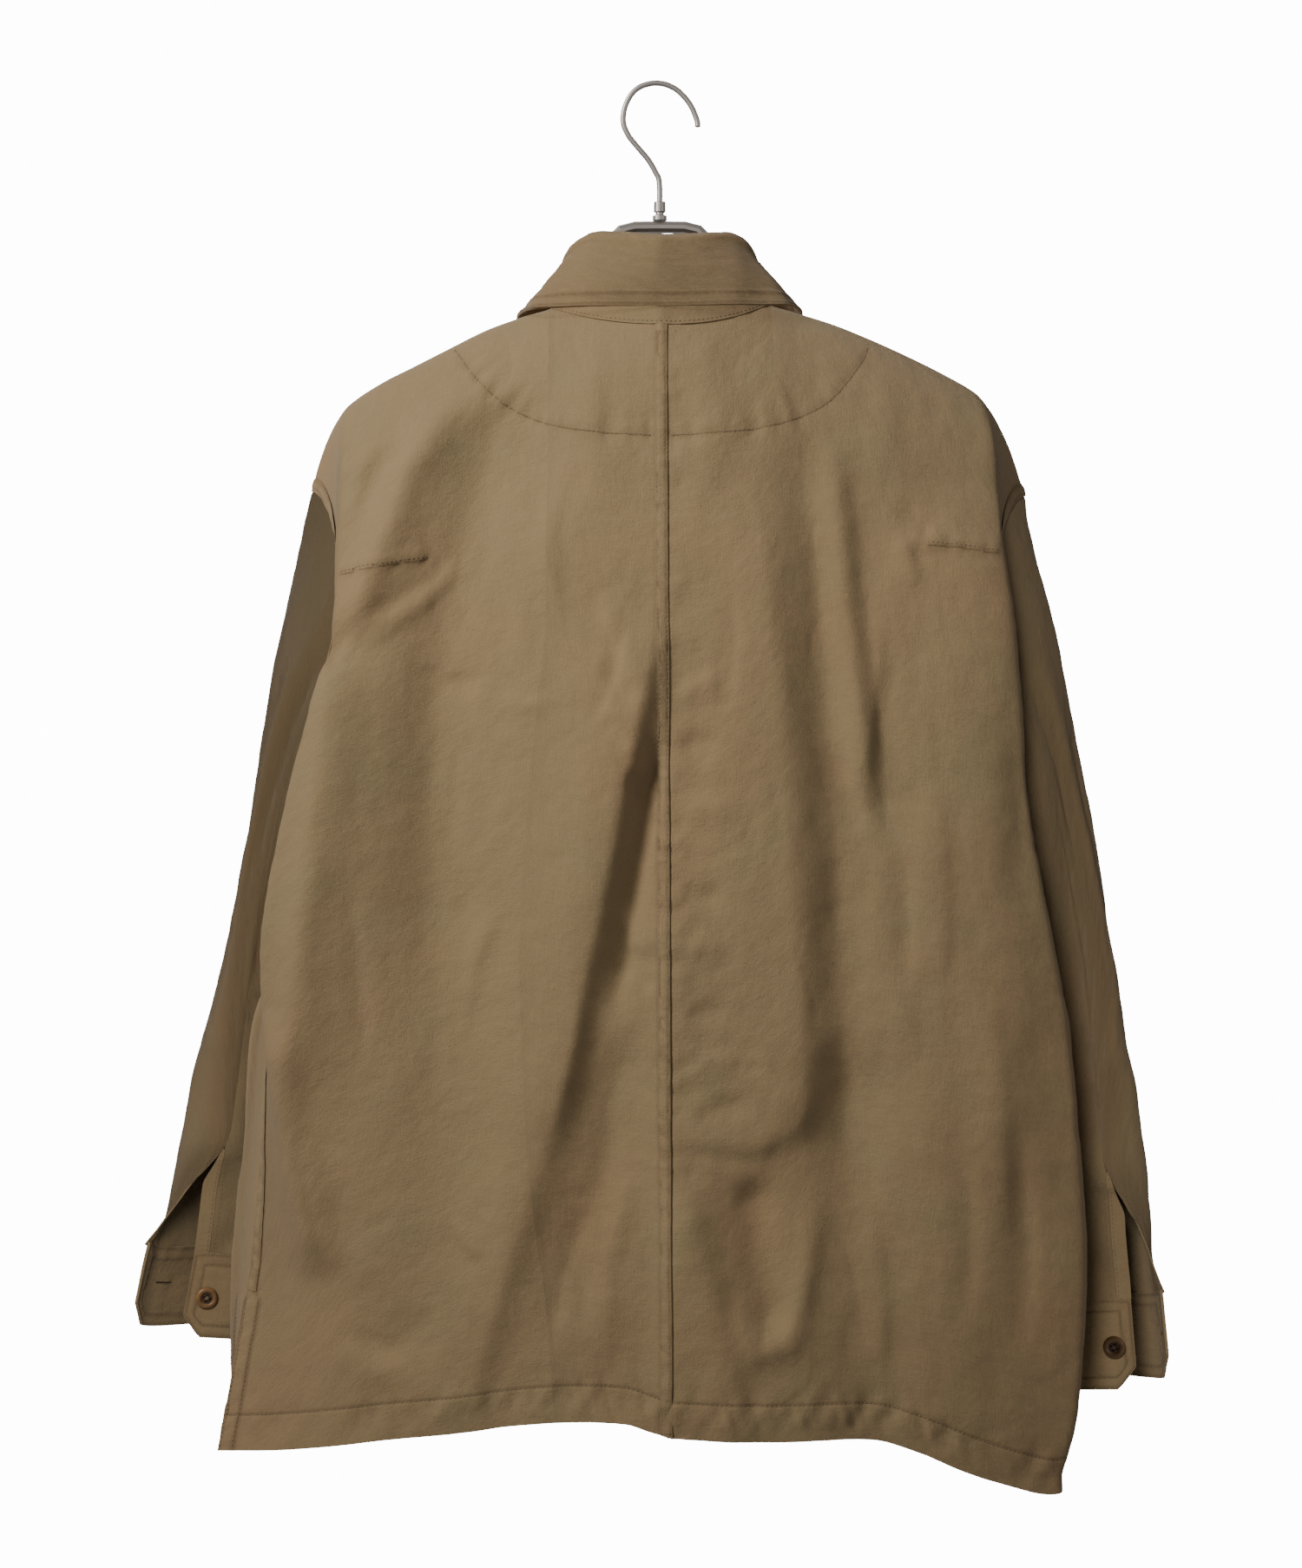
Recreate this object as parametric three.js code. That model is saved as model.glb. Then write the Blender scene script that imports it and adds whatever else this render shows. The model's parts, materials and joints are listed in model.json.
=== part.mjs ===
// A cotton shirt jacket hanging on a bent metal hanger.
// Sizes are in millimetres. +Z is up and a drop is a distance below the origin, which is
// the inside top of the hook. +X is the wearer's left, and the back of the jacket faces +Y.
import * as THREE from 'three';

// Driving dimensions
const clothWall = 1.5;
const seamGap = 0.3;
const centreSeamTopX = -4.5;
const centreSeamHemX = -8;
const underarmDrop = 520;
const ventDrop = 778;
const backNeckDrop = 158;
const frontNeckDrop = 214;
const neckHalfWidth = 70;
const ridgeRadius = 11;
const ridgeSlope = 0.45;
const frontOverlap = 15;
const overlapStep = 2.2;
const cuffCorner = 12;
const stripWidth = 9.5;
const buttonDiameter = 15;
const buttonThickness = 3;
const buttonGap = 0.35;
const frontButtonCount = 6;
const wireDiameter = 3.7;
const barHeight = 7.5;
const barGap = 0.8;

// How finely the cloth is divided
const neckCells = 5;
const shoulderCells = 7;
const tuckCells = 6;
const armholeCells = 12;
const sideCells = 7;
const ventCells = 3;
const sleeveCells = 12;
const slitCells = 4;
const cuffCells = 3;

// How far the front's free edge swings forward below the vent
const ventSwing = 6;

// Where a panel's fold edge lies, as a share of the way from the centre to the side seam
const bladeShare = 0.42;
const foldShare = 0.8;
const tuckShare = 0.9;

// The row of each shoulder's table that lies over the hanger's tip
const tipRow = 7;

const khaki = { color: 0x8f7a58, roughness: 0.88, metalness: 0 };
const horn = { color: 0x6b4526, roughness: 0.4, metalness: 0 };
const metal = { color: 0xa59a8c, roughness: 0.36, metalness: 1 };

// A table is a line of column names and one row of numbers for each section
function table(names, rows) {
  const keys = names.split(' ');
  return rows.map((row) => Object.fromEntries(keys.map((key, i) => [key, row[i]])));
}

// A smooth curve through one named column, measured along another; it stays level past its ends
function follow(rows, along, name) {
  const xs = rows.map((row) => row[along]);
  const ys = rows.map((row) => row[name]);
  const last = xs.length - 1;
  const slope = (i) => {
    const before = Math.max(i - 1, 0);
    const after = Math.min(i + 1, last);
    return (ys[after] - ys[before]) / (xs[after] - xs[before]);
  };
  return (x) => {
    if (x <= xs[0]) return ys[0];
    if (x >= xs[last]) return ys[last];
    const i = xs.findIndex((edge) => edge >= x) - 1;
    const span = xs[i + 1] - xs[i];
    const t = (x - xs[i]) / span;
    const bend = t * t * (3 - 2 * t);
    const leave = t * (1 - t) * (1 - t) * span * slope(i);
    const arrive = t * t * (t - 1) * span * slope(i + 1);
    return ys[i] + (ys[i + 1] - ys[i]) * bend + leave + arrive;
  };
}

const mix = (a, b, t) => a + (b - a) * t;
const clamp = (t) => Math.min(Math.max(t, 0), 1);
const ease = (t) => clamp(t) * clamp(t) * (3 - 2 * clamp(t));
const at = (x, y, drop) => new THREE.Vector3(x, y, -drop);

// The top edge of each shoulder, from the neck over the hanger's tip to the armhole seam
const shoulder = {
  left: table('x drop y', [
    [0, 117.5, 2], [70, 144.5, 2], [89, 149.5, -2], [112, 157.6, -4], [135, 168.9, -5],
    [157, 180, -6], [180, 191.6, -7], [200, 205, -8], [208, 215, -8], [215, 229, -8],
    [220.5, 245, -8], [224.5, 261, -8],
  ]),
  right: table('x drop y', [
    [0, 117.5, 2], [70, 142, 2], [89, 147, -2], [112, 154, -4], [135, 163.2, -5],
    [157, 173, -6], [180, 184.3, -7], [202, 196.8, -8], [210, 205, -8], [218, 216.4, -8],
    [227, 236, -8], [236, 264, -8],
  ]),
};

// Sections of the back: the centre seam, the shoulder blade, the vertical fold that hangs over
// the sleeve, the tuck behind it, and the armhole or side seam
const backSections = {
  left: table('drop centreY bladeY foldX foldY tuckX tuckY seamX seamY', [
    [260, 56, 51, 201, 28, 204, 26, 200, 24],
    [300, 60, 56, 203, 38, 204, 33, 198, 28],
    [350, 62, 59, 205, 46, 204, 38, 196, 29],
    [400, 63, 61, 218.5, 50, 213, 40, 198, 28],
    [450, 64, 62, 231, 52, 224, 38, 207, 22],
    [500, 65, 63, 241, 52, 237, 35, 220, 14],
    [550, 66, 63, 249, 50, 247, 32, 234, 9],
    [600, 67, 64, 247.5, 48, 251, 29, 245, 12],
    [631, 68, 65, 244.5, 48, 251, 28, 249.5, 14],
    [675, 70, 66, 237.5, 46, 249, 27, 254, 14],
    [720, 73, 68, 228, 46, 246, 26, 257.3, 13],
    [777, 76, 70, 207, 46, 243, 26, 264, 12],
    [820, 77, 69, 198, 49, 241, 30, 272.3, 12],
    [878, 78, 68, 188, 52, 239, 36, 283, 12],
  ]),
  right: table('drop centreY bladeY foldX foldY tuckX tuckY seamX seamY', [
    [260, 56, 51, 211.6, 28, 215, 25, 212, 22],
    [300, 60, 56, 215, 38, 216, 32, 209, 26],
    [350, 62, 59, 221, 44, 220, 36, 207, 28],
    [400, 63, 61, 225, 46, 223, 36, 208, 27],
    [450, 64, 62, 229, 46, 228, 35, 215, 22],
    [500, 65, 63, 236, 46, 236, 33, 226, 14],
    [550, 66, 63, 245, 46, 246, 31, 238, 9],
    [600, 67, 64, 254, 46, 256, 29, 247, 12],
    [675, 70, 66, 261, 46, 263, 28, 252, 14],
    [720, 73, 68, 264, 45, 266, 27, 254, 13],
    [777, 76, 70, 265, 44, 267, 26, 256, 12],
    [820, 77, 69, 263.5, 43, 264, 26, 255, 12],
    [856, 78, 67, 259.5, 42, 259, 27, 251, 13],
    [889, 78, 64, 251, 40, 251.5, 28, 246, 14],
  ]),
};

// Sections of the front, out from the side seam, and how wide the armhole is front to back
const frontSections = table('drop centreY bladeY foldOut foldY tuckOut tuckY armhole', [
  [260, -52, -46, -4, -36, -1, -34, 54],
  [300, -57, -52, -8, -45, -3, -42, 66],
  [350, -60, -55, -9, -50, -4, -47, 71],
  [400, -62, -57, -9, -50, -4, -46, 68],
  [450, -63, -57, -9, -45, -4, -39, 57],
  [480, -64, -57, -8, -37, -3, -29, 44],
  [500, -64, -56, -7, -29, -2, -18, 31],
  [512, -64, -56, -6, -23, -1, -8, 18],
  [520, -64, -55, -5, -18, 0, 0, 0],
  [540, -64, -55, -2, -9, 1, 3, 0],
  [565, -64, -54, 5, -3, 4, 5, 0],
  [600, -65, -54, 12, 1, 9, 7, 0],
  [675, -66, -54, 10, -2, 8, 5, 0],
  [720, -67, -54, 13, -3, 9, 4, 0],
  [777, -68, -54, 9, -3, 7, 4, 0],
  [820, -68, -52, 0, -4, 0, 3, 0],
  [866, -68, -50, -8, -5, -5, 0, 0],
]);

// How far down the hem hangs, across the panel from the centre seam to the side seam
const hemDrops = {
  backLeft: table('across drop', [
    [0, 858.5], [0.05, 855], [0.12, 850], [0.3, 850], [0.6, 860], [0.8, 866.5], [0.9, 873.5],
    [1, 878],
  ]),
  backRight: table('across drop', [
    [0, 858.5], [0.2, 861.5], [0.4, 862.5], [0.5, 871], [0.6, 883.5], [0.7, 894], [0.78, 900.5],
    [0.84, 898.5], [0.9, 889], [1, 874],
  ]),
  front: table('across drop', [[0, 862], [0.3, 860], [0.7, 857], [1, 860]]),
};

// Sleeve lines from the armhole to the top of the cuff: the outer fold, the front, the inner
// fold, and the two edges that part at the slit
const sleeveLines = {
  left: {
    outer: table('along x y drop', [
      [0, 224.5, -8, 261], [0.18, 243.5, -20, 347], [0.35, 256.5, -27, 432],
      [0.55, 276, -28, 533], [0.74, 298.8, -23, 636], [0.85, 311, -22, 686], [1, 326.5, -46, 754],
    ]),
    front: table('along x y drop', [
      [0, 205, -47, 400], [0.18, 223, -66, 460], [0.35, 236, -78, 525], [0.55, 248, -88, 595],
      [0.74, 256, -90, 672], [0.85, 263, -90, 708], [1, 277, -84, 757],
    ]),
    inner: table('along x y drop', [
      [0, 226, 11, 520], [0.07, 238.5, -5, 537], [0.18, 241, -32, 566], [0.35, 230, -62, 614],
      [0.55, 217, -82, 664], [0.74, 214, -88, 712], [0.85, 217, -86, 735], [1, 223, -72, 764],
    ]),
    holeEdge: table('along x y drop', [
      [0, 200, 28, 400], [0.18, 236, 14, 455], [0.35, 255, 0, 520], [0.55, 267, -6, 592],
      [0.74, 275, -8, 655], [0.85, 281.5, -6, 684], [0.92, 304.5, -15, 711], [1, 334, -28, 749],
    ]),
    buttonEdge: table('along x y drop', [
      [0, 200, 28, 400], [0.18, 236, 14, 455], [0.35, 255, 0, 520], [0.55, 267, -6, 592],
      [0.74, 275, -8, 655], [0.85, 281.5, -6, 684], [0.92, 287, -9, 716], [1, 292, -12, 754],
    ]),
  },
  right: {
    outer: table('along x y drop', [
      [0, 236, -8, 264], [0.18, 253, -20, 347], [0.35, 267.5, -27, 432], [0.55, 288, -28, 533],
      [0.74, 305, -23, 640], [0.85, 316, -24, 703], [1, 321, -44, 784],
    ]),
    front: table('along x y drop', [
      [0, 216, -48, 400], [0.18, 232, -66, 462], [0.35, 246, -78, 528], [0.55, 258, -88, 605],
      [0.74, 264, -90, 690], [0.85, 268, -90, 732], [1, 274, -84, 788],
    ]),
    inner: table('along x y drop', [
      [0, 231, 11, 520], [0.07, 242, -5, 538], [0.18, 246, -32, 570], [0.35, 238, -62, 622],
      [0.55, 226, -82, 677], [0.74, 221, -88, 732], [0.85, 222, -86, 760], [1, 226, -74, 792],
    ]),
    holeEdge: table('along x y drop', [
      [0, 208, 27, 400], [0.18, 246, 14, 458], [0.35, 265, 0, 524], [0.55, 278, -6, 600],
      [0.74, 285, -8, 670], [0.85, 289.5, -6, 701], [0.92, 309.5, -14, 737], [1, 328, -28, 780],
    ]),
    buttonEdge: table('along x y drop', [
      [0, 208, 27, 400], [0.18, 246, 14, 458], [0.35, 265, 0, 524], [0.55, 278, -6, 600],
      [0.74, 285, -8, 670], [0.85, 289.5, -6, 701], [0.92, 292, -9, 738], [1, 296, -12, 784],
    ]),
  },
};
const slitShare = 0.85;

// The lower edge of each cuff, on the same five lines
const cuffEnds = {
  left: {
    holeEdge: at(346, -34, 803), outer: at(336, -52, 807), front: at(286, -90, 811),
    inner: at(230, -76, 817), buttonEdge: at(302, -15, 809),
  },
  right: {
    holeEdge: at(334, -32, 839), outer: at(328, -49, 841), front: at(280, -90, 844),
    inner: at(230, -78, 848), buttonEdge: at(301, -15, 843),
  },
};

// Main folds: how far each stands out (or in, below zero), its half width, and its line
const backFolds = [
  { out: -3, half: 12, line: [[76, 180], [120, 193], [168, 214]] },
  { out: -8, half: 15, line: [[96, 200], [117, 241], [142, 285], [175, 328], [197, 367]] },
  { out: 5, half: 14, line: [[112, 218], [142, 263], [180, 307], [200, 345]] },
  { out: -5, half: 20, line: [[184, 380], [180, 470], [184, 560]] },
  { out: 10, half: 21, line: [[12, 285], [38, 421], [55, 503], [66, 585], [87, 640], [109, 722], [116, 775]] },
  { out: -8, half: 10, line: [[12, 394], [22, 449], [30, 503], [38, 558], [49, 601]] },
  { out: 4, half: 8, line: [[6, 421], [11, 503], [22, 585]] },
  { out: -9, half: 22, line: [[10, 612], [60, 667], [76, 722], [93, 775]] },
  { out: 6, half: 24, line: [[150, 600], [160, 700], [150, 800]] },
  { out: -9, half: 22, line: [[-66, 230], [-76, 285], [-85, 367], [-93, 449], [-98, 530], [-104, 612], [-92, 683]] },
  { out: 5, half: 18, line: [[-93, 230], [-104, 312], [-115, 394], [-131, 465]] },
  { out: -4, half: 13, line: [[-131, 235], [-123, 339], [-120, 421]] },
  { out: 5, half: 22, line: [[-186, 240], [-188, 370], [-190, 503]] },
  { out: -6, half: 24, line: [[-12, 700], [-50, 672], [-92, 668]] },
  { out: -6, half: 15, line: [[-22, 700], [-44, 749], [-60, 793], [-76, 765], [-93, 722]] },
  { out: -6, half: 16, line: [[-120, 722], [-109, 787], [-98, 850]] },
  { out: 7, half: 30, line: [[-150, 560], [-160, 700], [-166, 880]] },
];
const frontFolds = [
  { out: 7, half: 22, line: [[150, 260], [120, 400], [96, 560], [110, 700], [120, 860]] },
  { out: -6, half: 20, line: [[110, 240], [80, 380], [60, 560], [76, 740]] },
  { out: -6, half: 18, line: [[-160, 260], [-140, 380], [-100, 520], [-90, 660]] },
  { out: 8, half: 26, line: [[-100, 300], [-70, 480], [-60, 640], [-72, 860]] },
];

// How near a place is to a line of points: the distance, and the share of the line passed
function nearest(line, x, drop) {
  let best = { distance: Infinity, share: 0 };
  for (let i = 0; i + 1 < line.length; i += 1) {
    const [ax, ad] = line[i];
    const [bx, bd] = line[i + 1];
    const length = (bx - ax) ** 2 + (bd - ad) ** 2;
    const t = clamp(((x - ax) * (bx - ax) + (drop - ad) * (bd - ad)) / length);
    const distance = Math.hypot(x - mix(ax, bx, t), drop - mix(ad, bd, t));
    if (distance < best.distance) best = { distance, share: (i + t) / (line.length - 1) };
  }
  return best;
}

// How far the folds push the cloth out at one place
function foldShift(folds, x, drop) {
  return folds.reduce((sum, fold) => {
    const { distance, share } = nearest(fold.line, x, drop);
    const across = Math.exp(-((distance / fold.half) ** 2));
    const ends = ease(share / 0.2) * ease((1 - share) / 0.2);
    return sum + fold.out * across * ends;
  }, 0);
}

// Half the garment's depth just under the shoulder's top edge, where the cloth bends over it
const ridgeDepth = (below) => Math.sqrt(2 * ridgeRadius * below + (ridgeSlope * below) ** 2);
const settle = (t) => t / (1 + t ** 4) ** 0.25;

const sides = { left: 1, right: -1 };
const centreX = (drop) => mix(centreSeamTopX, centreSeamHemX, clamp((drop - 150) / 700));

// The height at which each shoulder's top edge lies, and how far forward, out from the centre
const ridgeDrop = {};
const ridgeY = {};
const tipX = {};
const endX = {};
for (const side of Object.keys(sides)) {
  ridgeDrop[side] = follow(shoulder[side], 'x', 'drop');
  ridgeY[side] = follow(shoulder[side], 'x', 'y');
  tipX[side] = shoulder[side][tipRow].x;
  endX[side] = shoulder[side].at(-1).x;
}

// The section of the back or the front of one side at one height; x counts outwards
function sectionOf(side, face) {
  const back = (name) => follow(backSections[side], 'drop', name);
  const front = (name) => follow(frontSections, 'drop', name);
  const seamX = back('seamX');
  const seamY = back('seamY');
  if (face === 'back') {
    const names = ['centreY', 'bladeY', 'foldX', 'foldY', 'tuckX', 'tuckY', 'seamX', 'seamY'];
    const curves = names.map((name) => [name, back(name)]);
    return (drop) => Object.fromEntries(curves.map(([name, curve]) => [name, curve(drop)]));
  }
  const names = ['centreY', 'bladeY', 'foldOut', 'foldY', 'tuckOut', 'tuckY', 'armhole'];
  const curves = names.map((name) => [name, front(name)]);
  return (drop) => {
    const now = Object.fromEntries(curves.map(([name, curve]) => [name, curve(drop)]));
    now.seamX = seamX(drop);
    now.seamY = seamY(drop) - (drop < underarmDrop ? now.armhole : 0);
    now.foldX = now.seamX + now.foldOut;
    now.tuckX = now.seamX + now.tuckOut;
    return now;
  };
}

// The shell of one side's back or front: a place on it for each share across and drop
function bodyShell(side, face) {
  const sign = sides[side];
  const outward = face === 'back' ? 1 : -1;
  const folds = face === 'back' ? backFolds : frontFolds;
  const section = sectionOf(side, face);
  const centreOut = (drop) => centreX(drop) * sign;
  const curve = (pairs, share) => {
    return follow(pairs.map(([along, value]) => ({ along, value })), 'along', 'value')(share);
  };
  const topX = (share) => {
    if (share <= foldShare) return mix(centreOut(0), tipX[side], share / foldShare);
    const past = (share - foldShare) / (1 - foldShare);
    return mix(tipX[side], endX[side], Math.sin(past * Math.PI / 2));
  };
  const neckShare = foldShare * (neckHalfWidth - centreOut(0)) / (tipX[side] - centreOut(0));
  const neckDrop = (share) => {
    const low = face === 'back' ? backNeckDrop : frontNeckDrop;
    return mix(low, ridgeDrop[side](neckHalfWidth), Math.abs(share / neckShare) ** 2.2);
  };
  const topDrop = (share) => {
    return share < neckShare ? neckDrop(share) : ridgeDrop[side](topX(share));
  };
  const place = (share, drop) => {
    const x = Math.abs(topX(share));
    const below = Math.max(drop - ridgeDrop[side](x), 0);
    const now = section(drop);
    const centre = centreOut(drop);
    const fullX = share <= foldShare
      ? mix(centre, now.foldX, share / foldShare)
      : curve([
        [bladeShare, mix(centre, now.foldX, bladeShare / foldShare)],
        [foldShare, now.foldX], [tuckShare, now.tuckX], [1, now.seamX],
      ], share);
    const fullY = curve([
      [-bladeShare, now.bladeY], [0, now.centreY], [bladeShare, now.bladeY],
      [foldShare, now.foldY], [tuckShare, now.tuckY], [1, now.seamY],
    ], share);
    const topY = ridgeY[side](x);
    const reach = settle(ridgeDepth(below) / Math.max(Math.abs(fullY - topY), ridgeRadius));
    const px = sign * mix(topX(share), fullX, reach);
    const edgeCalm = ease((1 - share) / 0.25) * ease((below - 12) / 60);
    const calm = face === 'back' ? edgeCalm : edgeCalm * ease((Math.abs(share) - 0.1) / 0.15);
    const shift = outward * foldShift(folds, px, drop) * calm;
    const lap = face === 'front' ? sign * overlapStep / 2 * ease((0.2 - share) / 0.12) : 0;
    return at(px, mix(topY, fullY, reach) + shift - lap, drop);
  };
  return { side, face, place, topX, topDrop, neckShare };
}

const shells = {};
for (const side of Object.keys(sides)) {
  shells[side] = { back: bodyShell(side, 'back'), front: bodyShell(side, 'front') };
}

// Evenly spaced numbers from one to another, both ends included
function steps(from, to, cells) {
  return Array.from({ length: cells + 1 }, (_, i) => mix(from, to, i / cells));
}

// The shares of the columns that end at the neck, by even turns round it
function neckShares(shell) {
  return steps(0, Math.PI / 2, neckCells).map((angle) => shell.neckShare * Math.sin(angle));
}

// The shares across a panel where its columns stand, from the centre to the side seam
function columnShares(shell) {
  return [
    ...neckShares(shell),
    ...steps(shell.neckShare, foldShare, shoulderCells).slice(1),
    ...steps(foldShare, 1, tuckCells).slice(1),
  ];
}

// The drops of a panel's rows in one column, closer together at the shoulder and the underarm
function rowDrops(shell, share) {
  const spread = (t) => mix(t * t, (1 - Math.cos(Math.PI * t)) / 2, ease(t));
  const hemTable = shell.face === 'front'
    ? hemDrops.front
    : hemDrops[shell.side === 'left' ? 'backLeft' : 'backRight'];
  const hem = follow(hemTable, 'across', 'drop')(share);
  const top = shell.topDrop(share);
  return [
    ...steps(0, 1, armholeCells).map((t) => mix(top, underarmDrop, spread(t))),
    ...steps(underarmDrop, ventDrop, sideCells).slice(1),
    ...steps(ventDrop, hem, ventCells).slice(1),
  ];
}

// The points of one panel, a row from the centre out for each height
function panelGrid(shell) {
  const shares = columnShares(shell);
  if (shell.face === 'front') {
    const reach = foldShare * frontOverlap / tipX[shell.side];
    shares.unshift(-reach);
  }
  const columns = shares.map((share) => {
    const source = share === 0 && shell.face === 'back' ? shells.left.back : shell;
    return rowDrops(source, share).map((drop, row) => {
      const point = source.place(share, drop);
      const vent = ease((row - armholeCells - sideCells) / ventCells);
      if (shell.face === 'front') {
        point.y -= ventSwing * vent * ease((share - 0.6) / 0.4);
      }
      return point;
    });
  });
  return columns[0].map((_, row) => columns.map((column) => column[row]));
}

// The armhole's loop on one side, from the back seam over the shoulder to the underarm
function armholeLoop(side) {
  const column = (face) => {
    const shell = shells[side][face];
    const drops = rowDrops(shell, 1).slice(0, armholeCells + 1);
    return drops.map((drop) => shell.place(1, drop));
  };
  const back = column('back');
  const front = column('front');
  const half = armholeCells / 2;
  return [
    ...back.slice(0, half + 1).reverse(),
    ...front.slice(1),
    ...back.slice(half, armholeCells).reverse(),
  ];
}

// A ring round a flattened tube, from one slit edge round the outside to the other edge. It
// passes its corners smoothly, and ends straight where the edges have parted.
function ringPlace(corners, turn) {
  const { holeEdge, outer, front, inner, buttonEdge } = corners;
  const parted = clamp(holeEdge.distanceTo(buttonEdge) / 25);
  const between = (from, to) => to.clone().sub(from).normalize();
  const across = between(inner, outer);
  const points = [holeEdge, outer, front, inner, buttonEdge];
  const headings = [
    across.clone().lerp(between(holeEdge, outer), parted), between(holeEdge, front),
    between(outer, inner), between(front, buttonEdge), across,
  ];
  const quarter = Math.min(Math.floor(turn * 4), 3);
  const t = turn * 4 - quarter;
  const from = points[quarter];
  const to = points[quarter + 1];
  const pull = 1.17 * from.distanceTo(to);
  return from.clone().lerp(to, t * t * (3 - 2 * t))
    .addScaledVector(headings[quarter], pull * t * (1 - t) ** 2)
    .addScaledVector(headings[quarter + 1], pull * t * t * (t - 1));
}

// The five corner points of a sleeve's ring, part of the way along it
function sleeveCorners(side, along) {
  const lines = sleeveLines[side];
  const point = (rows) => at(
    sides[side] * follow(rows, 'along', 'x')(along),
    follow(rows, 'along', 'y')(along),
    follow(rows, 'along', 'drop')(along),
  );
  const corners = Object.fromEntries(Object.entries(lines).map(([name, rows]) => [name, point(rows)]));
  if (along <= slitShare) corners.buttonEdge = corners.holeEdge.clone();
  return corners;
}

function sleeveGrid(side) {
  const loop = armholeLoop(side);
  const turns = steps(0, 1, loop.length - 1);
  const start = sleeveCorners(side, 0);
  const alongs = [...steps(0, slitShare, sleeveCells), ...steps(slitShare, 1, slitCells).slice(1)];
  return alongs.map((along) => {
    const corners = sleeveCorners(side, along);
    const hold = ease(1 - along / 0.4);
    return turns.map((turn, i) => {
      const point = ringPlace(corners, turn);
      return point.addScaledVector(loop[i].clone().sub(ringPlace(start, turn)), hold);
    });
  });
}

// The strip that binds the slit on its button side, and which the cuff's end reaches out to
function stripGrid(side, sleeve) {
  return sleeve.slice(sleeveCells + 1).map((row) => {
    const edge = row.at(-1);
    const gap = edge.distanceTo(row[0]);
    const width = Math.min(stripWidth, 0.72 * gap);
    const outwards = new THREE.Vector3(sides[side] * 0.985, 0.17, 0).multiplyScalar(width);
    return [edge, edge.clone().add(outwards)];
  });
}

function cuffCornersOf(side) {
  return Object.fromEntries(Object.entries(cuffEnds[side]).map(([name, end]) => {
    return [name, at(sides[side] * end.x, end.y, -end.z)];
  }));
}

// The cuff carries on from the sleeve's last ring, and its lower corners are cut off
function cuffGrid(side, sleeve, strip) {
  const top = [...sleeve.at(-1), strip.at(-1)[1]];
  const corners = cuffCornersOf(side);
  const turns = steps(0, 1, top.length - 2);
  const low = turns.map((turn) => ringPlace(corners, turn));
  low.push(low.at(-1).clone().add(new THREE.Vector3(sides[side] * stripWidth, 1.5, 0)));
  const run = [0];
  for (let i = 1; i < low.length; i += 1) run.push(run[i - 1] + low[i].distanceTo(low[i - 1]));
  return steps(0, 1, cuffCells).map((t) => top.map((point, i) => {
    const fromEnd = Math.min(run[i], run.at(-1) - run[i]);
    const height = 1 - 0.26 * clamp(1 - fromEnd / cuffCorner);
    return point.clone().lerp(low[i], t * height);
  }));
}

// The collar: how high the stand rises, how far it leans in, and where the leaf's edge lies,
// by the angle round the neck from the centre back
const collar = table('turn rise lean leafX leafY leafDrop', [
  [0, 46, 5, 0, 47, 147], [35, 41, 8, 45, 43, 147], [62, 27, 12, 81, 24, 146.5],
  [80, 17, 14, 89.5, 4, 147], [90, 14, 14, 92, -8, 149], [100, 15, 14, 93, -22, 158],
  [125, 24, 11, 88, -44, 192], [150, 29, 9, 74, -54, 220], [165, 30, 9, 60, -60, 238],
  [180, 30, 9, 54, -62, 242],
]);
const rollSteps = table('out up', [[0, 6], [0.8, 10], [4, 12.3], [7.3, 10], [8.2, 5]]);
const leafCells = 4;
const standCells = 2;

// The neck seam, as points with their angle round the neck, from the right front end round
// the back to the left front end
function neckLoop() {
  const half = (side) => {
    const { back, front } = shells[side];
    const backPoints = neckShares(back).map((share, i) => {
      const source = share === 0 ? shells.left.back : back;
      return { turn: 90 * i / neckCells, point: source.place(share, source.topDrop(share)) };
    });
    const frontPoints = neckShares(front).reverse().slice(1).map((share, i) => ({
      turn: 90 + 90 * (i + 1) / neckCells, point: front.place(share, front.topDrop(share)),
    }));
    const end = -foldShare * frontOverlap / tipX[side];
    frontPoints.push({ turn: 180, past: true, point: front.place(end, front.topDrop(end)) });
    return [...backPoints, ...frontPoints].map((entry) => ({ ...entry, side }));
  };
  return [...half('right').reverse(), ...half('left').slice(1)];
}

const collarCurve = Object.fromEntries(Object.keys(collar[0]).map((name) => {
  return [name, follow(collar, 'turn', name)];
}));

// The level direction out from the middle of the neck
function outFrom(point) {
  return new THREE.Vector3(point.x - centreSeamTopX, point.y + 5, 0).normalize();
}

function standTop({ point, turn }) {
  const out = outFrom(point);
  const top = point.clone().addScaledVector(out, -collarCurve.lean(turn));
  top.z += collarCurve.rise(turn);
  return top;
}

function standGrid(loop) {
  return steps(0, 1, standCells).map((t) => loop.map((entry) => {
    return entry.point.clone().lerp(standTop(entry), t);
  }));
}

function leafGrid(loop) {
  const columns = loop.filter((entry) => !entry.past).map((entry) => {
    const top = standTop(entry);
    const out = outFrom(entry.point);
    const lower = ridgeDrop[entry.side](90) - ridgeDrop.left(90);
    const roll = rollSteps.map((step) => {
      const point = top.clone().addScaledVector(out, step.out);
      point.z += step.up;
      return point;
    });
    const edge = at(
      sides[entry.side] * collarCurve.leafX(entry.turn),
      collarCurve.leafY(entry.turn),
      collarCurve.leafDrop(entry.turn) + lower * ease(entry.turn / 80),
    );
    const fall = steps(0, 1, leafCells).slice(1).map((t) => {
      return roll.at(-1).clone().lerp(edge, t).addScaledVector(out, 3 * Math.sin(Math.PI * t));
    });
    return [top, ...roll, ...fall];
  });
  return columns[0].map((_, row) => columns.map((column) => column[row]));
}

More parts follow.
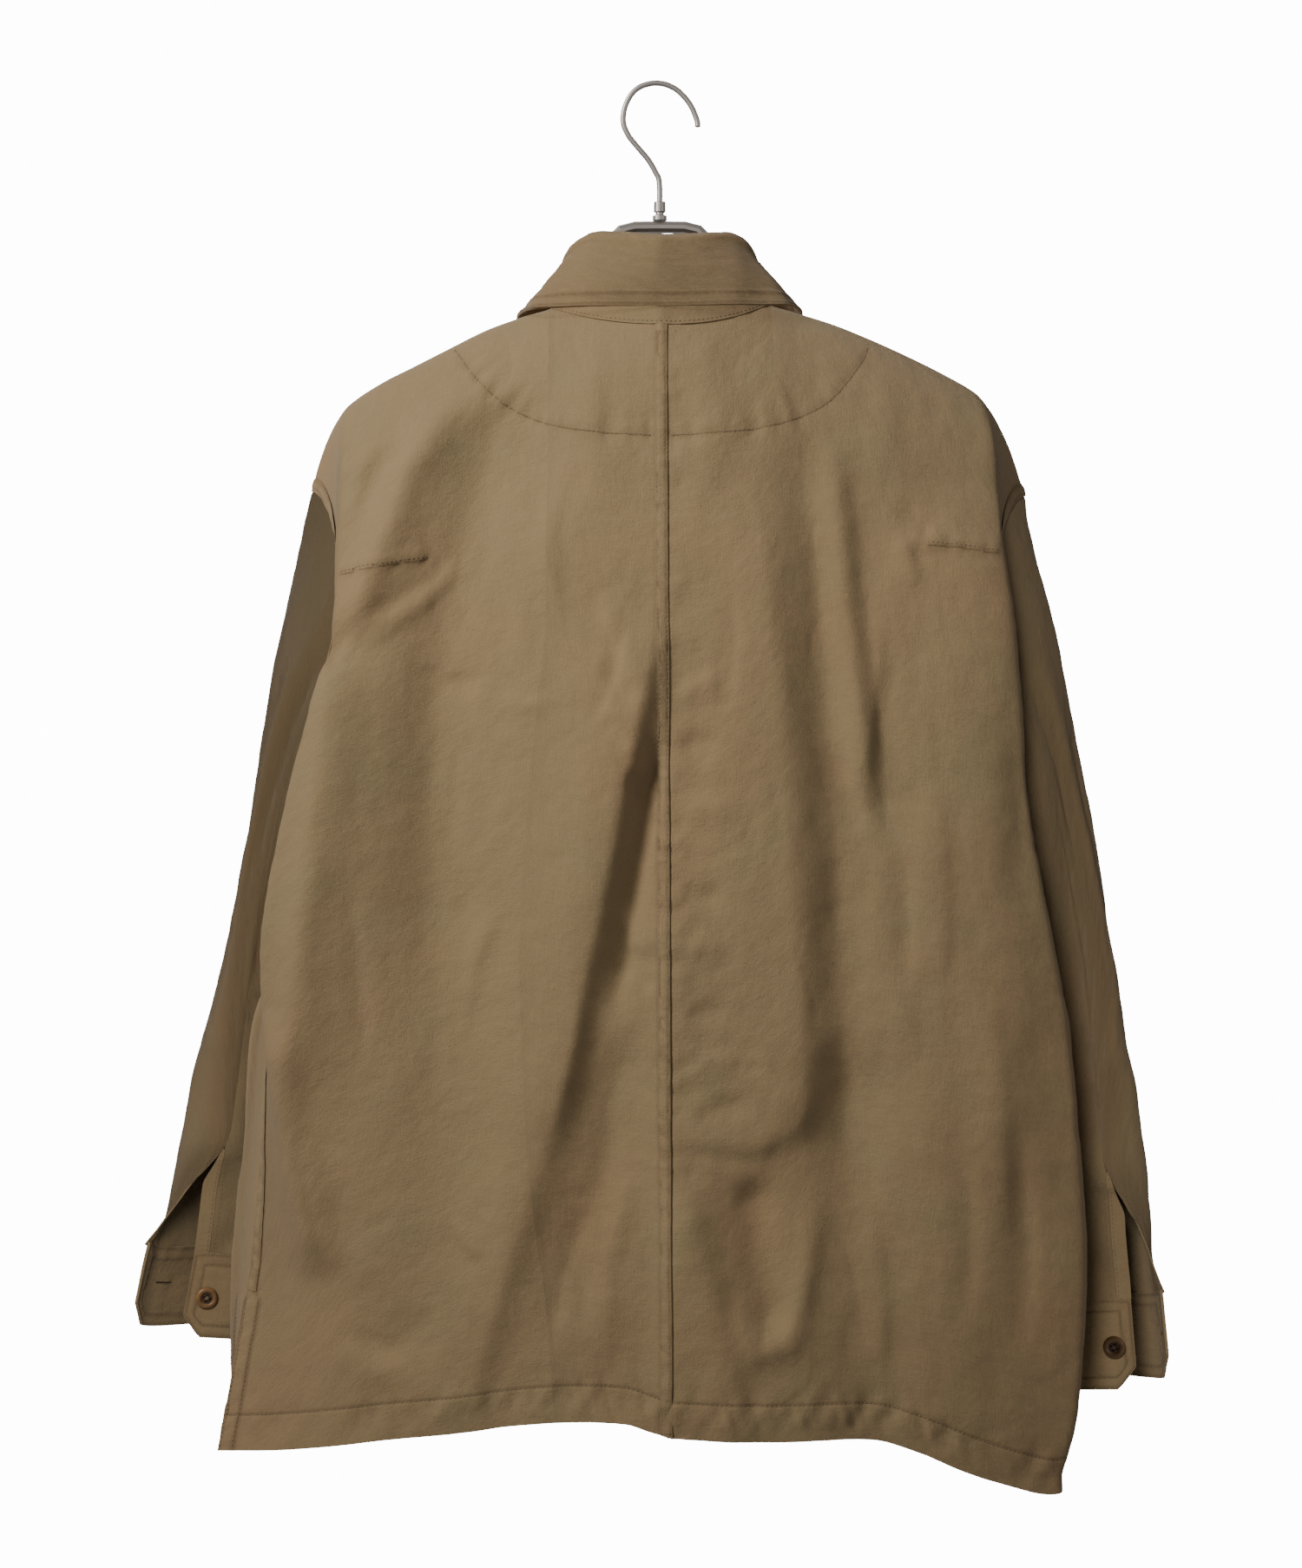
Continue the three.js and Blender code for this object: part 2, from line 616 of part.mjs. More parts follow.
// One cloth piece: its grid, and whether its rows and columns face outwards as they run
function clothPiece(name, grid, facing) {
  const ids = new Map();
  const points = [];
  const idOf = (point) => {
    const key = [point.x, point.y, point.z].map((value) => Math.round(value * 500)).join(' ');
    if (!ids.has(key)) {
      ids.set(key, points.length);
      points.push(point.clone());
    }
    return ids.get(key);
  };
  const faces = [];
  const addFace = (corners) => {
    const ring = corners.filter((id, i) => id !== corners[(i + 1) % corners.length]);
    if (ring.length > 2) faces.push(facing > 0 ? ring : ring.reverse());
  };
  for (let r = 0; r + 1 < grid.length; r += 1) {
    for (let c = 0; c + 1 < grid[r].length; c += 1) {
      const corners = [grid[r][c], grid[r][c + 1], grid[r + 1][c + 1], grid[r + 1][c]];
      addFace(corners.map(idOf));
    }
  }
  return { name, points, faces, keys: [...ids.keys()] };
}

// Sewn pieces share one direction at the seam, so that their cut edges meet squarely
function shareNormals(pieces) {
  const sums = new Map();
  for (const piece of pieces) {
    for (const face of piece.faces) {
      for (let i = 0; i < face.length; i += 1) {
        const here = piece.points[face[i]];
        const next = piece.points[face[(i + 1) % face.length]];
        const before = piece.points[face[(i + face.length - 1) % face.length]];
        const a = next.clone().sub(here);
        const b = before.clone().sub(here);
        const normal = a.clone().cross(b).normalize().multiplyScalar(a.angleTo(b));
        const key = piece.keys[face[i]];
        if (!sums.has(key)) sums.set(key, new THREE.Vector3());
        sums.get(key).add(normal);
      }
    }
  }
  for (const piece of pieces) {
    piece.normals = piece.keys.map((key) => sums.get(key).clone().normalize());
  }
}

// The edges of a piece that only one face uses, in the order in which the face runs
function openEdges(piece) {
  const used = new Set();
  for (const face of piece.faces) {
    face.forEach((id, i) => used.add(`${id} ${face[(i + 1) % face.length]}`));
  }
  const edges = [];
  for (const face of piece.faces) {
    face.forEach((id, i) => {
      const next = face[(i + 1) % face.length];
      if (!used.has(`${next} ${id}`)) edges.push([id, next]);
    });
  }
  return edges;
}

// Draws each open edge in by half the seam gap
function trimEdges(piece, edges) {
  const inwards = new Map();
  for (const [from, to] of edges) {
    const run = piece.points[to].clone().sub(piece.points[from]);
    for (const id of [from, to]) {
      const inward = piece.normals[id].clone().cross(run).normalize();
      if (!inwards.has(id)) inwards.set(id, []);
      inwards.get(id).push(inward);
    }
  }
  for (const [id, list] of inwards) {
    const sum = list.reduce((total, inward) => total.add(inward), new THREE.Vector3());
    const even = Math.max(sum.lengthSq() / list.length, 0.5);
    piece.points[id].addScaledVector(sum, seamGap / 2 / even);
  }
}

// Gives a cloth piece its wall, half of it on each side of its points
function clothMesh(piece, look) {
  const edges = openEdges(piece);
  trimEdges(piece, edges);
  const count = piece.points.length;
  const positions = [];
  for (const side of [1, -1]) {
    piece.points.forEach((point, id) => {
      const moved = point.clone().addScaledVector(piece.normals[id], side * clothWall / 2);
      positions.push(moved.x, moved.y, moved.z);
    });
  }
  const triangles = [];
  for (const face of piece.faces) {
    for (let i = 1; i + 1 < face.length; i += 1) {
      triangles.push(face[0], face[i], face[i + 1]);
      triangles.push(count + face[0], count + face[i + 1], count + face[i]);
    }
  }
  for (const [from, to] of edges) {
    if (piece.keys[from] < piece.keys[to]) {
      triangles.push(to, from, count + to, from, count + from, count + to);
    } else {
      triangles.push(to, from, count + from, to, count + from, count + to);
    }
  }
  return solidMesh(piece.name, positions, triangles, look);
}

function solidMesh(name, positions, triangles, look) {
  const geometry = new THREE.BufferGeometry();
  geometry.setAttribute('position', new THREE.Float32BufferAttribute(positions, 3));
  geometry.setIndex(triangles);
  geometry.computeVertexNormals();
  return namedMesh(name, geometry, look);
}

function namedMesh(name, geometry, look) {
  const mesh = new THREE.Mesh(geometry, new THREE.MeshStandardMaterial(look));
  mesh.name = name;
  return mesh;
}

// A sewn-on button, round, with a raised rim and a dished middle
function button(name, place, outward) {
  const radius = buttonDiameter / 2;
  const half = buttonThickness / 2;
  const profile = [
    [0, -half], [radius - 1.2, -half], [radius, -half + 0.9], [radius, half - 0.7],
    [radius - 0.8, half], [radius - 1.9, half], [radius - 2.8, half - 0.9], [0, half - 0.9],
  ];
  const points = profile.map(([r, z]) => new THREE.Vector2(r, z));
  const mesh = namedMesh(name, new THREE.LatheGeometry(points, 16), horn);
  mesh.quaternion.setFromUnitVectors(new THREE.Vector3(0, 1, 0), outward);
  const lift = clothWall / 2 + buttonGap + half;
  mesh.position.copy(place).addScaledVector(outward, lift);
  return mesh;
}

// The button on the end of a cuff's band, on its outside
function cuffButton(side, cuff) {
  const row = cuff[Math.round(cuffCells / 2)];
  const above = cuff[Math.round(cuffCells / 2) - 1];
  const end = row.length - 2;
  const centre = (column) => row[column].clone().lerp(above[column], 0.4);
  const along = centre(end + 1).sub(centre(end - 1)).normalize();
  const down = row[end].clone().sub(above[end]).normalize();
  const outward = along.clone().cross(down).multiplyScalar(sides[side]).normalize();
  return button(`cuff_button_${side}`, centre(end).addScaledVector(along, -2), outward);
}

function frontButtons() {
  const shell = shells.left.front;
  const list = [];
  for (let i = 0; i < frontButtonCount; i += 1) {
    const drop = 236 + i * 98;
    const here = shell.place(0, drop);
    const low = shell.place(0, drop + 6).sub(shell.place(0, drop - 6));
    const wide = shell.place(0.03, drop).sub(shell.place(-0.03, drop));
    const outward = low.cross(wide).normalize();
    if (outward.y > 0) outward.negate();
    list.push(button(`front_button_${i + 1}`, here, outward));
  }
  return list;
}

// The hanger's bar, from the bridge above the collar out along each shoulder
const bridgeLine = table('x drop', [
  [0, 90.8], [16, 91], [25, 93.2], [31.5, 100], [36, 111], [42, 127], [52, 142], [65, 153],
]);
const barOutline = table('y z', [
  [5.5, 0.4], [3.4, 2.7], [0, 3.75], [-3.4, 2.7], [-5.5, 0.4], [-5.5, -1.8], [-3.6, -3.75],
  [3.6, -3.75], [5.5, -1.8],
]);
const barEndX = 186;

function barLine(side) {
  const arm = columnShares(shells[side].back)
    .map((share) => shells[side].back.topX(share))
    .filter((x) => x > neckHalfWidth + 8 && x < barEndX);
  const under = (x) => {
    const slope = ridgeDrop[side](x + 1) - ridgeDrop[side](x);
    const thick = (clothWall + barHeight) / 2 + barGap;
    return ridgeDrop[side](x) + thick * Math.hypot(1, slope);
  };
  const armPoints = [...arm, barEndX].map((x) => ({
    x, drop: under(x) + 5 * ease((115 - x) / 40), y: ridgeY[side](x), size: 1,
  }));
  const ends = [[3, 0.82], [5, 0.45]].map(([past, size]) => ({
    x: barEndX + past, drop: under(barEndX) + past * 0.55, y: ridgeY[side](barEndX), size,
  }));
  const bridge = bridgeLine.map(({ x, drop }) => ({ x, drop, y: mix(0, 1, x / 70), size: 1 }));
  return [...bridge, ...armPoints, ...ends].map((step) => ({ ...step, x: step.x * sides[side] }));
}

function hangerBar() {
  const line = [...barLine('right').reverse(), ...barLine('left').slice(1)];
  const positions = [];
  line.forEach((step, i) => {
    const before = line[Math.max(i - 1, 0)];
    const after = line[Math.min(i + 1, line.length - 1)];
    const run = at(after.x - before.x, 0, after.drop - before.drop).normalize();
    const up = new THREE.Vector3(-run.z, 0, run.x);
    for (const { y, z } of barOutline) {
      const point = at(step.x, step.y + y * step.size, step.drop).addScaledVector(up, z * step.size);
      positions.push(point.x, point.y, point.z);
    }
  });
  const around = barOutline.length;
  const last = (line.length - 1) * around;
  const triangles = [];
  for (let i = 0; i + 1 < line.length; i += 1) {
    for (let k = 0; k < around; k += 1) {
      const a = i * around + k;
      const b = i * around + (k + 1) % around;
      triangles.push(a, b + around, a + around, a, b, b + around);
    }
  }
  for (let k = 1; k + 1 < around; k += 1) {
    triangles.push(0, k + 1, k);
    triangles.push(last, last + k, last + k + 1);
  }
  return solidMesh('hanger_bar', positions, triangles, metal);
}

// The wire hook, from its foot in the ferrule round to its tip
const hookLine = table('x drop', [
  [0, 74.4], [0, 66], [0.6, 60], [2.2, 56.4], [7.3, 47.7], [14.6, 39], [19.9, 32.3], [23, 25.6],
  [23.5, 19.4], [22.1, 12.7], [18.5, 5.7], [13.4, 1], [7.3, -1.3], [1.7, -1.85], [-4.5, -0.8],
  [-11.2, 2.6], [-17.4, 8.8], [-21.3, 15], [-24.1, 22.2], [-24.6, 25.9],
]);

function hangerHook() {
  const path = new THREE.CatmullRomCurve3(hookLine.map(({ x, drop }) => at(x, 0, drop)));
  const outline = new THREE.Shape(steps(0, 2 * Math.PI, 10).slice(1).map((angle) => {
    const radius = wireDiameter / 2;
    return new THREE.Vector2(radius * Math.cos(angle), radius * Math.sin(angle));
  }));
  const geometry = new THREE.ExtrudeGeometry(outline, { steps: 48, extrudePath: path });
  return namedMesh('hanger_hook', geometry, metal);
}

function hangerFerrule() {
  const profile = [
    [0, -86.7], [4.6, -86.7], [4.6, -83.8], [2.7, -83.2], [2.7, -81.8], [3.9, -81.2], [3.7, -74.9],
    [3.2, -74.7], [0, -74.7],
  ];
  const points = profile.map(([r, z]) => new THREE.Vector2(r, z));
  const geometry = new THREE.LatheGeometry(points, 20).rotateX(Math.PI / 2);
  return namedMesh('hanger_ferrule', geometry, metal);
}

function jacket() {
  const group = new THREE.Group();
  const loop = neckLoop();
  const pieces = [
    clothPiece('back_left', panelGrid(shells.left.back), 1),
    clothPiece('back_right', panelGrid(shells.right.back), -1),
    clothPiece('front_left', panelGrid(shells.left.front), -1),
    clothPiece('front_right', panelGrid(shells.right.front), 1),
    clothPiece('collar_stand', standGrid(loop), -1),
    clothPiece('collar_leaf', leafGrid(loop), -1),
  ];
  for (const side of Object.keys(sides)) {
    const sleeve = sleeveGrid(side);
    const strip = stripGrid(side, sleeve);
    const cuff = cuffGrid(side, sleeve, strip);
    pieces.push(clothPiece(`sleeve_${side}`, sleeve, sides[side]));
    pieces.push(clothPiece(`slit_strip_${side}`, strip, sides[side]));
    pieces.push(clothPiece(`cuff_${side}`, cuff, sides[side]));
    group.add(cuffButton(side, cuff));
  }
  shareNormals(pieces);
  for (const piece of pieces) group.add(clothMesh(piece, khaki));
  group.add(...frontButtons(), hangerBar(), hangerHook(), hangerFerrule());
  return group;
}

export default jacket();
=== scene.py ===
# A khaki cotton shirt jacket on its metal hanger, seen from the back.
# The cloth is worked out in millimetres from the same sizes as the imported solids: +X is the
# wearer's left, the back faces +Y, and a drop is a distance below the inside top of the hook.
import json
import math

import bpy
import numpy as np
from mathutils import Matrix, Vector

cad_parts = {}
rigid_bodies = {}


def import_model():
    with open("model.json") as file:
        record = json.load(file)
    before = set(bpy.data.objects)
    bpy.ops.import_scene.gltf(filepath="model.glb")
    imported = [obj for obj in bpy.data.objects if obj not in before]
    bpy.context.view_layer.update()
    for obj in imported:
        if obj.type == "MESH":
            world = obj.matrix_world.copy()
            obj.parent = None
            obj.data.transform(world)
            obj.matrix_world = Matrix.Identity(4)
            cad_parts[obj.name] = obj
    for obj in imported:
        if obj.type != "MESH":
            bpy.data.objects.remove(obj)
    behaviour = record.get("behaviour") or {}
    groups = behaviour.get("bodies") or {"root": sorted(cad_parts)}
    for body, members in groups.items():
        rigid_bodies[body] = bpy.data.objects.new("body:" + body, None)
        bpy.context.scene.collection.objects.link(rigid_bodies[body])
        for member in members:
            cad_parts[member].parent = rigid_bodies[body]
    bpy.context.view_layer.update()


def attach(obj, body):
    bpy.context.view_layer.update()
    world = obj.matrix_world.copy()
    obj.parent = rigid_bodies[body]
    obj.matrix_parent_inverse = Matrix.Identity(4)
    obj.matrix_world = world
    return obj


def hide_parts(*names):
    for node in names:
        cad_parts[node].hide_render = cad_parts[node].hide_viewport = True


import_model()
mm = 0.001
sides = {"left": 1, "right": -1}

# camera
view = {"distance": 2.4, "height": -0.4502, "across": 0.0056, "seenHeight": 1.0114, "sensor": 24}


def placeCamera():
    data = bpy.data.cameras.new("camera")
    data.sensor_fit = "VERTICAL"
    data.sensor_height = view["sensor"]
    data.lens = view["sensor"] * view["distance"] / view["seenHeight"]
    camera = bpy.data.objects.new("camera", data)
    bpy.context.collection.objects.link(camera)
    camera.location = (view["across"], view["distance"], view["height"])
    camera.rotation_euler = (math.pi / 2, 0, math.pi)
    bpy.context.scene.camera = camera


placeCamera()
print("camera placed")


# small maths, all on numpy arrays
def mix(a, b, t):
    return a + (b - a) * t


def ease(t):
    t = np.clip(t, 0, 1)
    return t * t * (3 - 2 * t)


def table(names, rows):
    keys = names.split()
    return [dict(zip(keys, row)) for row in rows]


def hermite(start, end, leave, arrive, t, span):
    bend = t * t * (3 - 2 * t)
    return start + (end - start) * bend + span * (t * (1 - t) ** 2 * leave + t * t * (t - 1) * arrive)


# A smooth curve through one column of a table, level past its ends
def follow(rows, along, name):
    xs = np.array([row[along] for row in rows], float)
    ys = np.array([row[name] for row in rows], float)
    last = len(xs) - 1
    before = np.maximum(np.arange(last + 1) - 1, 0)
    after = np.minimum(np.arange(last + 1) + 1, last)
    slopes = (ys[after] - ys[before]) / (xs[after] - xs[before])

    def curve(x):
        x = np.clip(np.asarray(x, float), xs[0], xs[-1])
        i = np.clip(np.searchsorted(xs, x, side="right") - 1, 0, last - 1)
        span = xs[i + 1] - xs[i]
        return hermite(ys[i], ys[i + 1], slopes[i], slopes[i + 1], (x - xs[i]) / span, span)

    return curve


# The same through a few knots whose values are arrays
def throughKnots(knots, values, share):
    last = len(knots) - 1
    result = values[0] + 0 * share

    def slope(i):
        low, high = max(i - 1, 0), min(i + 1, last)
        return (values[high] - values[low]) / (knots[high] - knots[low])

    for i in range(last):
        span = knots[i + 1] - knots[i]
        t = np.clip((share - knots[i]) / span, 0, 1)
        piece = hermite(values[i], values[i + 1], slope(i), slope(i + 1), t, span)
        result = np.where(share > knots[i], piece, result)
    return result


def bell(away, half=1.1):
    return np.exp(-((away / half) ** 2))


def unit(vectors):
    return vectors / np.maximum(np.linalg.norm(vectors, axis=-1, keepdims=True), 1e-9)


# Signed distance from a line of points (positive on its left as it runs), and the share passed
def nearLine(line, x, drop):
    best = np.full(x.shape, 1e9)
    signed = np.zeros(x.shape)
    passed = np.zeros(x.shape)
    for i in range(len(line) - 1):
        (ax, ad), (bx, bd) = line[i], line[i + 1]
        runX, runD = bx - ax, bd - ad
        t = np.clip(((x - ax) * runX + (drop - ad) * runD) / (runX**2 + runD**2), 0, 1)
        away = np.hypot(x - ax - runX * t, drop - ad - runD * t)
        closer = away < best
        side = np.sign(runX * (drop - ad) - runD * (x - ax))
        best = np.where(closer, away, best)
        signed = np.where(closer, away * np.where(side == 0, 1, side), signed)
        passed = np.where(closer, (i + t) / (len(line) - 1), passed)
    return signed, passed


# How far folds push the cloth out. A fold's two flanks may have different widths
def foldHeight(folds, x, drop, fade=0.2):
    total = np.zeros(np.broadcast(x, drop).shape)
    for out, leftHalf, rightHalf, line in folds:
        signed, passed = nearLine(line, x, drop)
        half = np.where(signed > 0, leftHalf, rightHalf)
        ends = ease(passed / fade) * ease((1 - passed) / fade)
        total = total + out * bell(signed, half) * ends
    return total


# Smooth repeatable noise between -1 and 1, in one and in two directions
def ripple(s, pitch, seed):
    values = np.random.default_rng(seed).uniform(-1, 1, 4096)
    place = np.asarray(s) / pitch + 500
    i = np.floor(place).astype(int)
    return mix(values[i % 4096], values[(i + 1) % 4096], ease(place - i))


def softNoise(x, y, cellX, cellY, seed):
    values = np.random.default_rng(seed).uniform(-1, 1, (128, 128))
    u, v = np.asarray(x) / cellX + 64, np.asarray(y) / cellY + 64
    i, j = np.floor(u).astype(int), np.floor(v).astype(int)
    a, b = ease(u - i), ease(v - j)
    low = mix(values[i % 128, j % 128], values[(i + 1) % 128, j % 128], a)
    high = mix(values[i % 128, (j + 1) % 128], values[(i + 1) % 128, (j + 1) % 128], a)
    return mix(low, high, b)


# the sizes of the jacket
garment = {
    "centreSeamTopX": -4.5, "centreSeamHemX": -8, "underarmDrop": 520, "ventDrop": 778,
    "backNeckDrop": 158, "frontNeckDrop": 214, "neckHalfWidth": 70, "ridgeRadius": 11,
    "ridgeSlope": 0.45, "frontOverlap": 15, "overlapStep": 2.2, "ventSwing": 6,
    "bladeShare": 0.42, "foldShare": 0.8, "tuckShare": 0.9, "clothThickness": 1.1, "foldStrength": 1.45,
}
shoulder = {
    "left": table("x drop y", [
        [0, 117.5, 2], [70, 144.5, 2], [89, 149.5, -2], [112, 157.6, -4], [135, 168.9, -5],
        [157, 180, -6], [180, 191.6, -7], [200, 205, -8], [208, 215, -8], [215, 229, -8],
        [220.5, 245, -8], [224.5, 261, -8],
    ]),
    "right": table("x drop y", [
        [0, 117.5, 2], [70, 142, 2], [89, 147, -2], [112, 154, -4], [135, 163.2, -5],
        [157, 173, -6], [180, 184.3, -7], [202, 196.8, -8], [210, 205, -8], [218, 216.4, -8],
        [227, 236, -8], [236, 264, -8],
    ]),
}
tipRow = 7
backSections = {
    "left": table("drop centreY bladeY foldX foldY tuckX tuckY seamX seamY", [
        [260, 56, 51, 201, 28, 204, 26, 200, 24],
        [300, 60, 56, 203, 38, 204, 33, 198, 28],
        [350, 62, 59, 205, 46, 204, 38, 196, 29],
        [400, 63, 61, 218.5, 50, 213, 40, 198, 28],
        [450, 64, 62, 231, 52, 224, 38, 207, 22],
        [500, 65, 63, 241, 52, 237, 35, 220, 14],
        [550, 66, 63, 249, 50, 247, 32, 234, 9],
        [600, 67, 64, 247.5, 48, 251, 29, 245, 12],
        [631, 68, 65, 244.5, 48, 251, 28, 249.5, 14],
        [675, 70, 66, 237.5, 46, 249, 27, 254, 14],
        [720, 73, 68, 228, 46, 246, 26, 257.3, 13],
        [777, 76, 70, 207, 46, 243, 26, 264, 12],
        [820, 77, 69, 198, 49, 241, 30, 272.3, 12],
        [878, 78, 68, 188, 52, 239, 36, 283, 12],
    ]),
    "right": table("drop centreY bladeY foldX foldY tuckX tuckY seamX seamY", [
        [260, 56, 51, 211.6, 28, 215, 25, 212, 22],
        [300, 60, 56, 215, 38, 216, 32, 209, 26],
        [350, 62, 59, 221, 44, 220, 36, 207, 28],
        [400, 63, 61, 225, 46, 223, 36, 208, 27],
        [450, 64, 62, 229, 46, 228, 35, 215, 22],
        [500, 65, 63, 236, 46, 236, 33, 226, 14],
        [550, 66, 63, 245, 46, 246, 31, 238, 9],
        [600, 67, 64, 254, 46, 256, 29, 247, 12],
        [675, 70, 66, 261, 46, 263, 28, 252, 14],
        [720, 73, 68, 264, 45, 266, 27, 254, 13],
        [777, 76, 70, 265, 44, 267, 26, 256, 12],
        [820, 77, 69, 263.5, 43, 264, 26, 255, 12],
        [856, 78, 67, 259.5, 42, 259, 27, 251, 13],
        [889, 78, 64, 251, 40, 251.5, 28, 246, 14],
    ]),
}
frontSections = table("drop centreY bladeY foldOut foldY tuckOut tuckY armhole", [
    [260, -52, -46, -4, -36, -1, -34, 54],
    [300, -57, -52, -8, -45, -3, -42, 66],
    [350, -60, -55, -9, -50, -4, -47, 71],
    [400, -62, -57, -9, -50, -4, -46, 68],
    [450, -63, -57, -9, -45, -4, -39, 57],
    [480, -64, -57, -8, -37, -3, -29, 44],
    [500, -64, -56, -7, -29, -2, -18, 31],
    [512, -64, -56, -6, -23, -1, -8, 18],
    [520, -64, -55, -5, -18, 0, 0, 0],
    [540, -64, -55, -2, -9, 1, 3, 0],
    [565, -64, -54, 5, -3, 4, 5, 0],
    [600, -65, -54, 12, 1, 9, 7, 0],
    [675, -66, -54, 10, -2, 8, 5, 0],
    [720, -67, -54, 13, -3, 9, 4, 0],
    [777, -68, -54, 9, -3, 7, 4, 0],
    [820, -68, -52, 0, -4, 0, 3, 0],
    [866, -68, -50, -8, -5, -5, 0, 0],
])
hemDrops = {
    "backLeft": table("across drop", [
        [0, 858.5], [0.05, 855], [0.12, 850], [0.3, 850], [0.6, 860], [0.8, 866.5], [0.9, 873.5],
        [1, 878],
    ]),
    "backRight": table("across drop", [
        [0, 858.5], [0.2, 861.5], [0.4, 862.5], [0.5, 871], [0.6, 883.5], [0.7, 894],
        [0.78, 900.5], [0.84, 898.5], [0.9, 889], [1, 874],
    ]),
    "front": table("across drop", [[0, 862], [0.3, 860], [0.7, 857], [1, 860]]),
}

# The large folds: how far out (in, below 0), the half widths of the flank on the left and on the
# right of the line as it runs, and the line. Its left is towards -X where it runs down the back
backFolds = [
    (-9, 40, 24, [(84, 176), (104, 232), (120, 292), (136, 360), (141, 460), (140, 540), (134, 620)]),
    (-4.5, 34, 40, [(134, 540), (128, 660), (125, 760), (120, 960)]),
    (7, 15, 13, [(136, 200), (160, 250), (180, 306), (200, 366)]),
    (8, 27, 14, [(204, 350), (214, 440), (226, 540), (234, 660)]),
    (5.5, 14, 14, [(247, 590), (240, 650), (228, 710), (212, 772)]),
    (8, 11, 44, [(2, 330), (12, 392), (24, 446), (36, 508), (48, 566), (60, 628), (74, 690)]),
    (5.5, 14, 38, [(56, 610), (76, 684), (98, 750), (118, 818), (124, 900)]),
    (-4, 8, 9, [(1, 410), (10, 470), (19, 536), (30, 604)]),
    (-3, 16, 13, [(22, 600), (30, 660), (40, 720), (52, 800)]),
    (4, 26, 15, [(-6, 480), (-8, 590), (-9, 700), (-9, 800), (-8, 900)]),
    (4.5, 15, 58, [(-52, 215), (-64, 320), (-73, 420), (-80, 500), (-85, 570), (-89, 628), (-78, 668)]),
    (4, 11, 44, [(-98, 630), (-84, 662), (-60, 674), (-34, 674), (-6, 662)]),
    (-5, 24, 15, [(-92, 210), (-102, 320), (-109, 420), (-114, 520), (-118, 620), (-122, 720)]),
    (-5.5, 36, 26, [(-116, 600), (-122, 690), (-130, 790), (-134, 960)]),
    (3.2, 9, 14, [(-106, 215), (-115, 310), (-123, 400), (-134, 478)]),
    (-3, 24, 9, [(-124, 240), (-132, 340), (-140, 430), (-148, 500)]),
    (4, 26, 44, [(-198, 220), (-208, 340), (-214, 480), (-218, 620), (-224, 760)]),
    (4, 13, 16, [(-14, 690), (-24, 750), (-40, 806), (-46, 900)]),
    (-4.5, 14, 14, [(-56, 690), (-64, 750), (-72, 800)]),
    (3, 9, 9, [(-44, 770), (-60, 806), (-80, 800), (-94, 750), (-98, 700)]),
    (-2.6, 18, 22, [(208, 690), (202, 762), (176, 794), (136, 802)]),
    (-3, 8, 10, [(176, 206), (132, 190), (84, 168)]),
    (2, 12, 12, [(184, 222), (140, 210), (100, 190)]),
    (1.6, 14, 16, [(40, 150), (44, 200), (36, 300)]),
    (-1.4, 12, 14, [(68, 160), (76, 220), (70, 300)]),
    (1.4, 14, 14, [(-30, 150), (-34, 200), (-30, 280)]),
]
frontFolds = [
    (7, 22, 22, [(150, 260), (120, 400), (96, 560), (110, 700), (120, 860)]),
    (-6, 20, 20, [(110, 240), (80, 380), (60, 560), (76, 740)]),
    (-6, 18, 18, [(-160, 260), (-140, 380), (-100, 520), (-90, 660)]),
    (8, 26, 26, [(-100, 300), (-70, 480), (-60, 640), (-72, 860)]),
]

# the body's shells
ridgeDrop = {side: follow(rows, "x", "drop") for side, rows in shoulder.items()}
ridgeY = {side: follow(rows, "x", "y") for side, rows in shoulder.items()}
tipX = {side: rows[tipRow]["x"] for side, rows in shoulder.items()}
endX = {side: rows[-1]["x"] for side, rows in shoulder.items()}


def centreX(drop):
    t = np.clip((np.asarray(drop, float) - 150) / 700, 0, 1)
    return mix(garment["centreSeamTopX"], garment["centreSeamHemX"], t)


def ridgeDepth(below):
    return np.sqrt(2 * garment["ridgeRadius"] * below + (garment["ridgeSlope"] * below) ** 2)


def settle(t):
    return t / (1 + t**4) ** 0.25


def sectionAt(side, face, drop):
    back = {name: follow(backSections[side], "drop", name)(drop) for name in backSections[side][0]}
    if face == "back":
        return back
    now = {name: follow(frontSections, "drop", name)(drop) for name in frontSections[0]}
    now["seamX"] = back["seamX"]
    now["seamY"] = back["seamY"] - np.where(drop < garment["underarmDrop"], now["armhole"], 0)
    now["foldX"] = now["seamX"] + now["foldOut"]
    now["tuckX"] = now["seamX"] + now["tuckOut"]
    return now


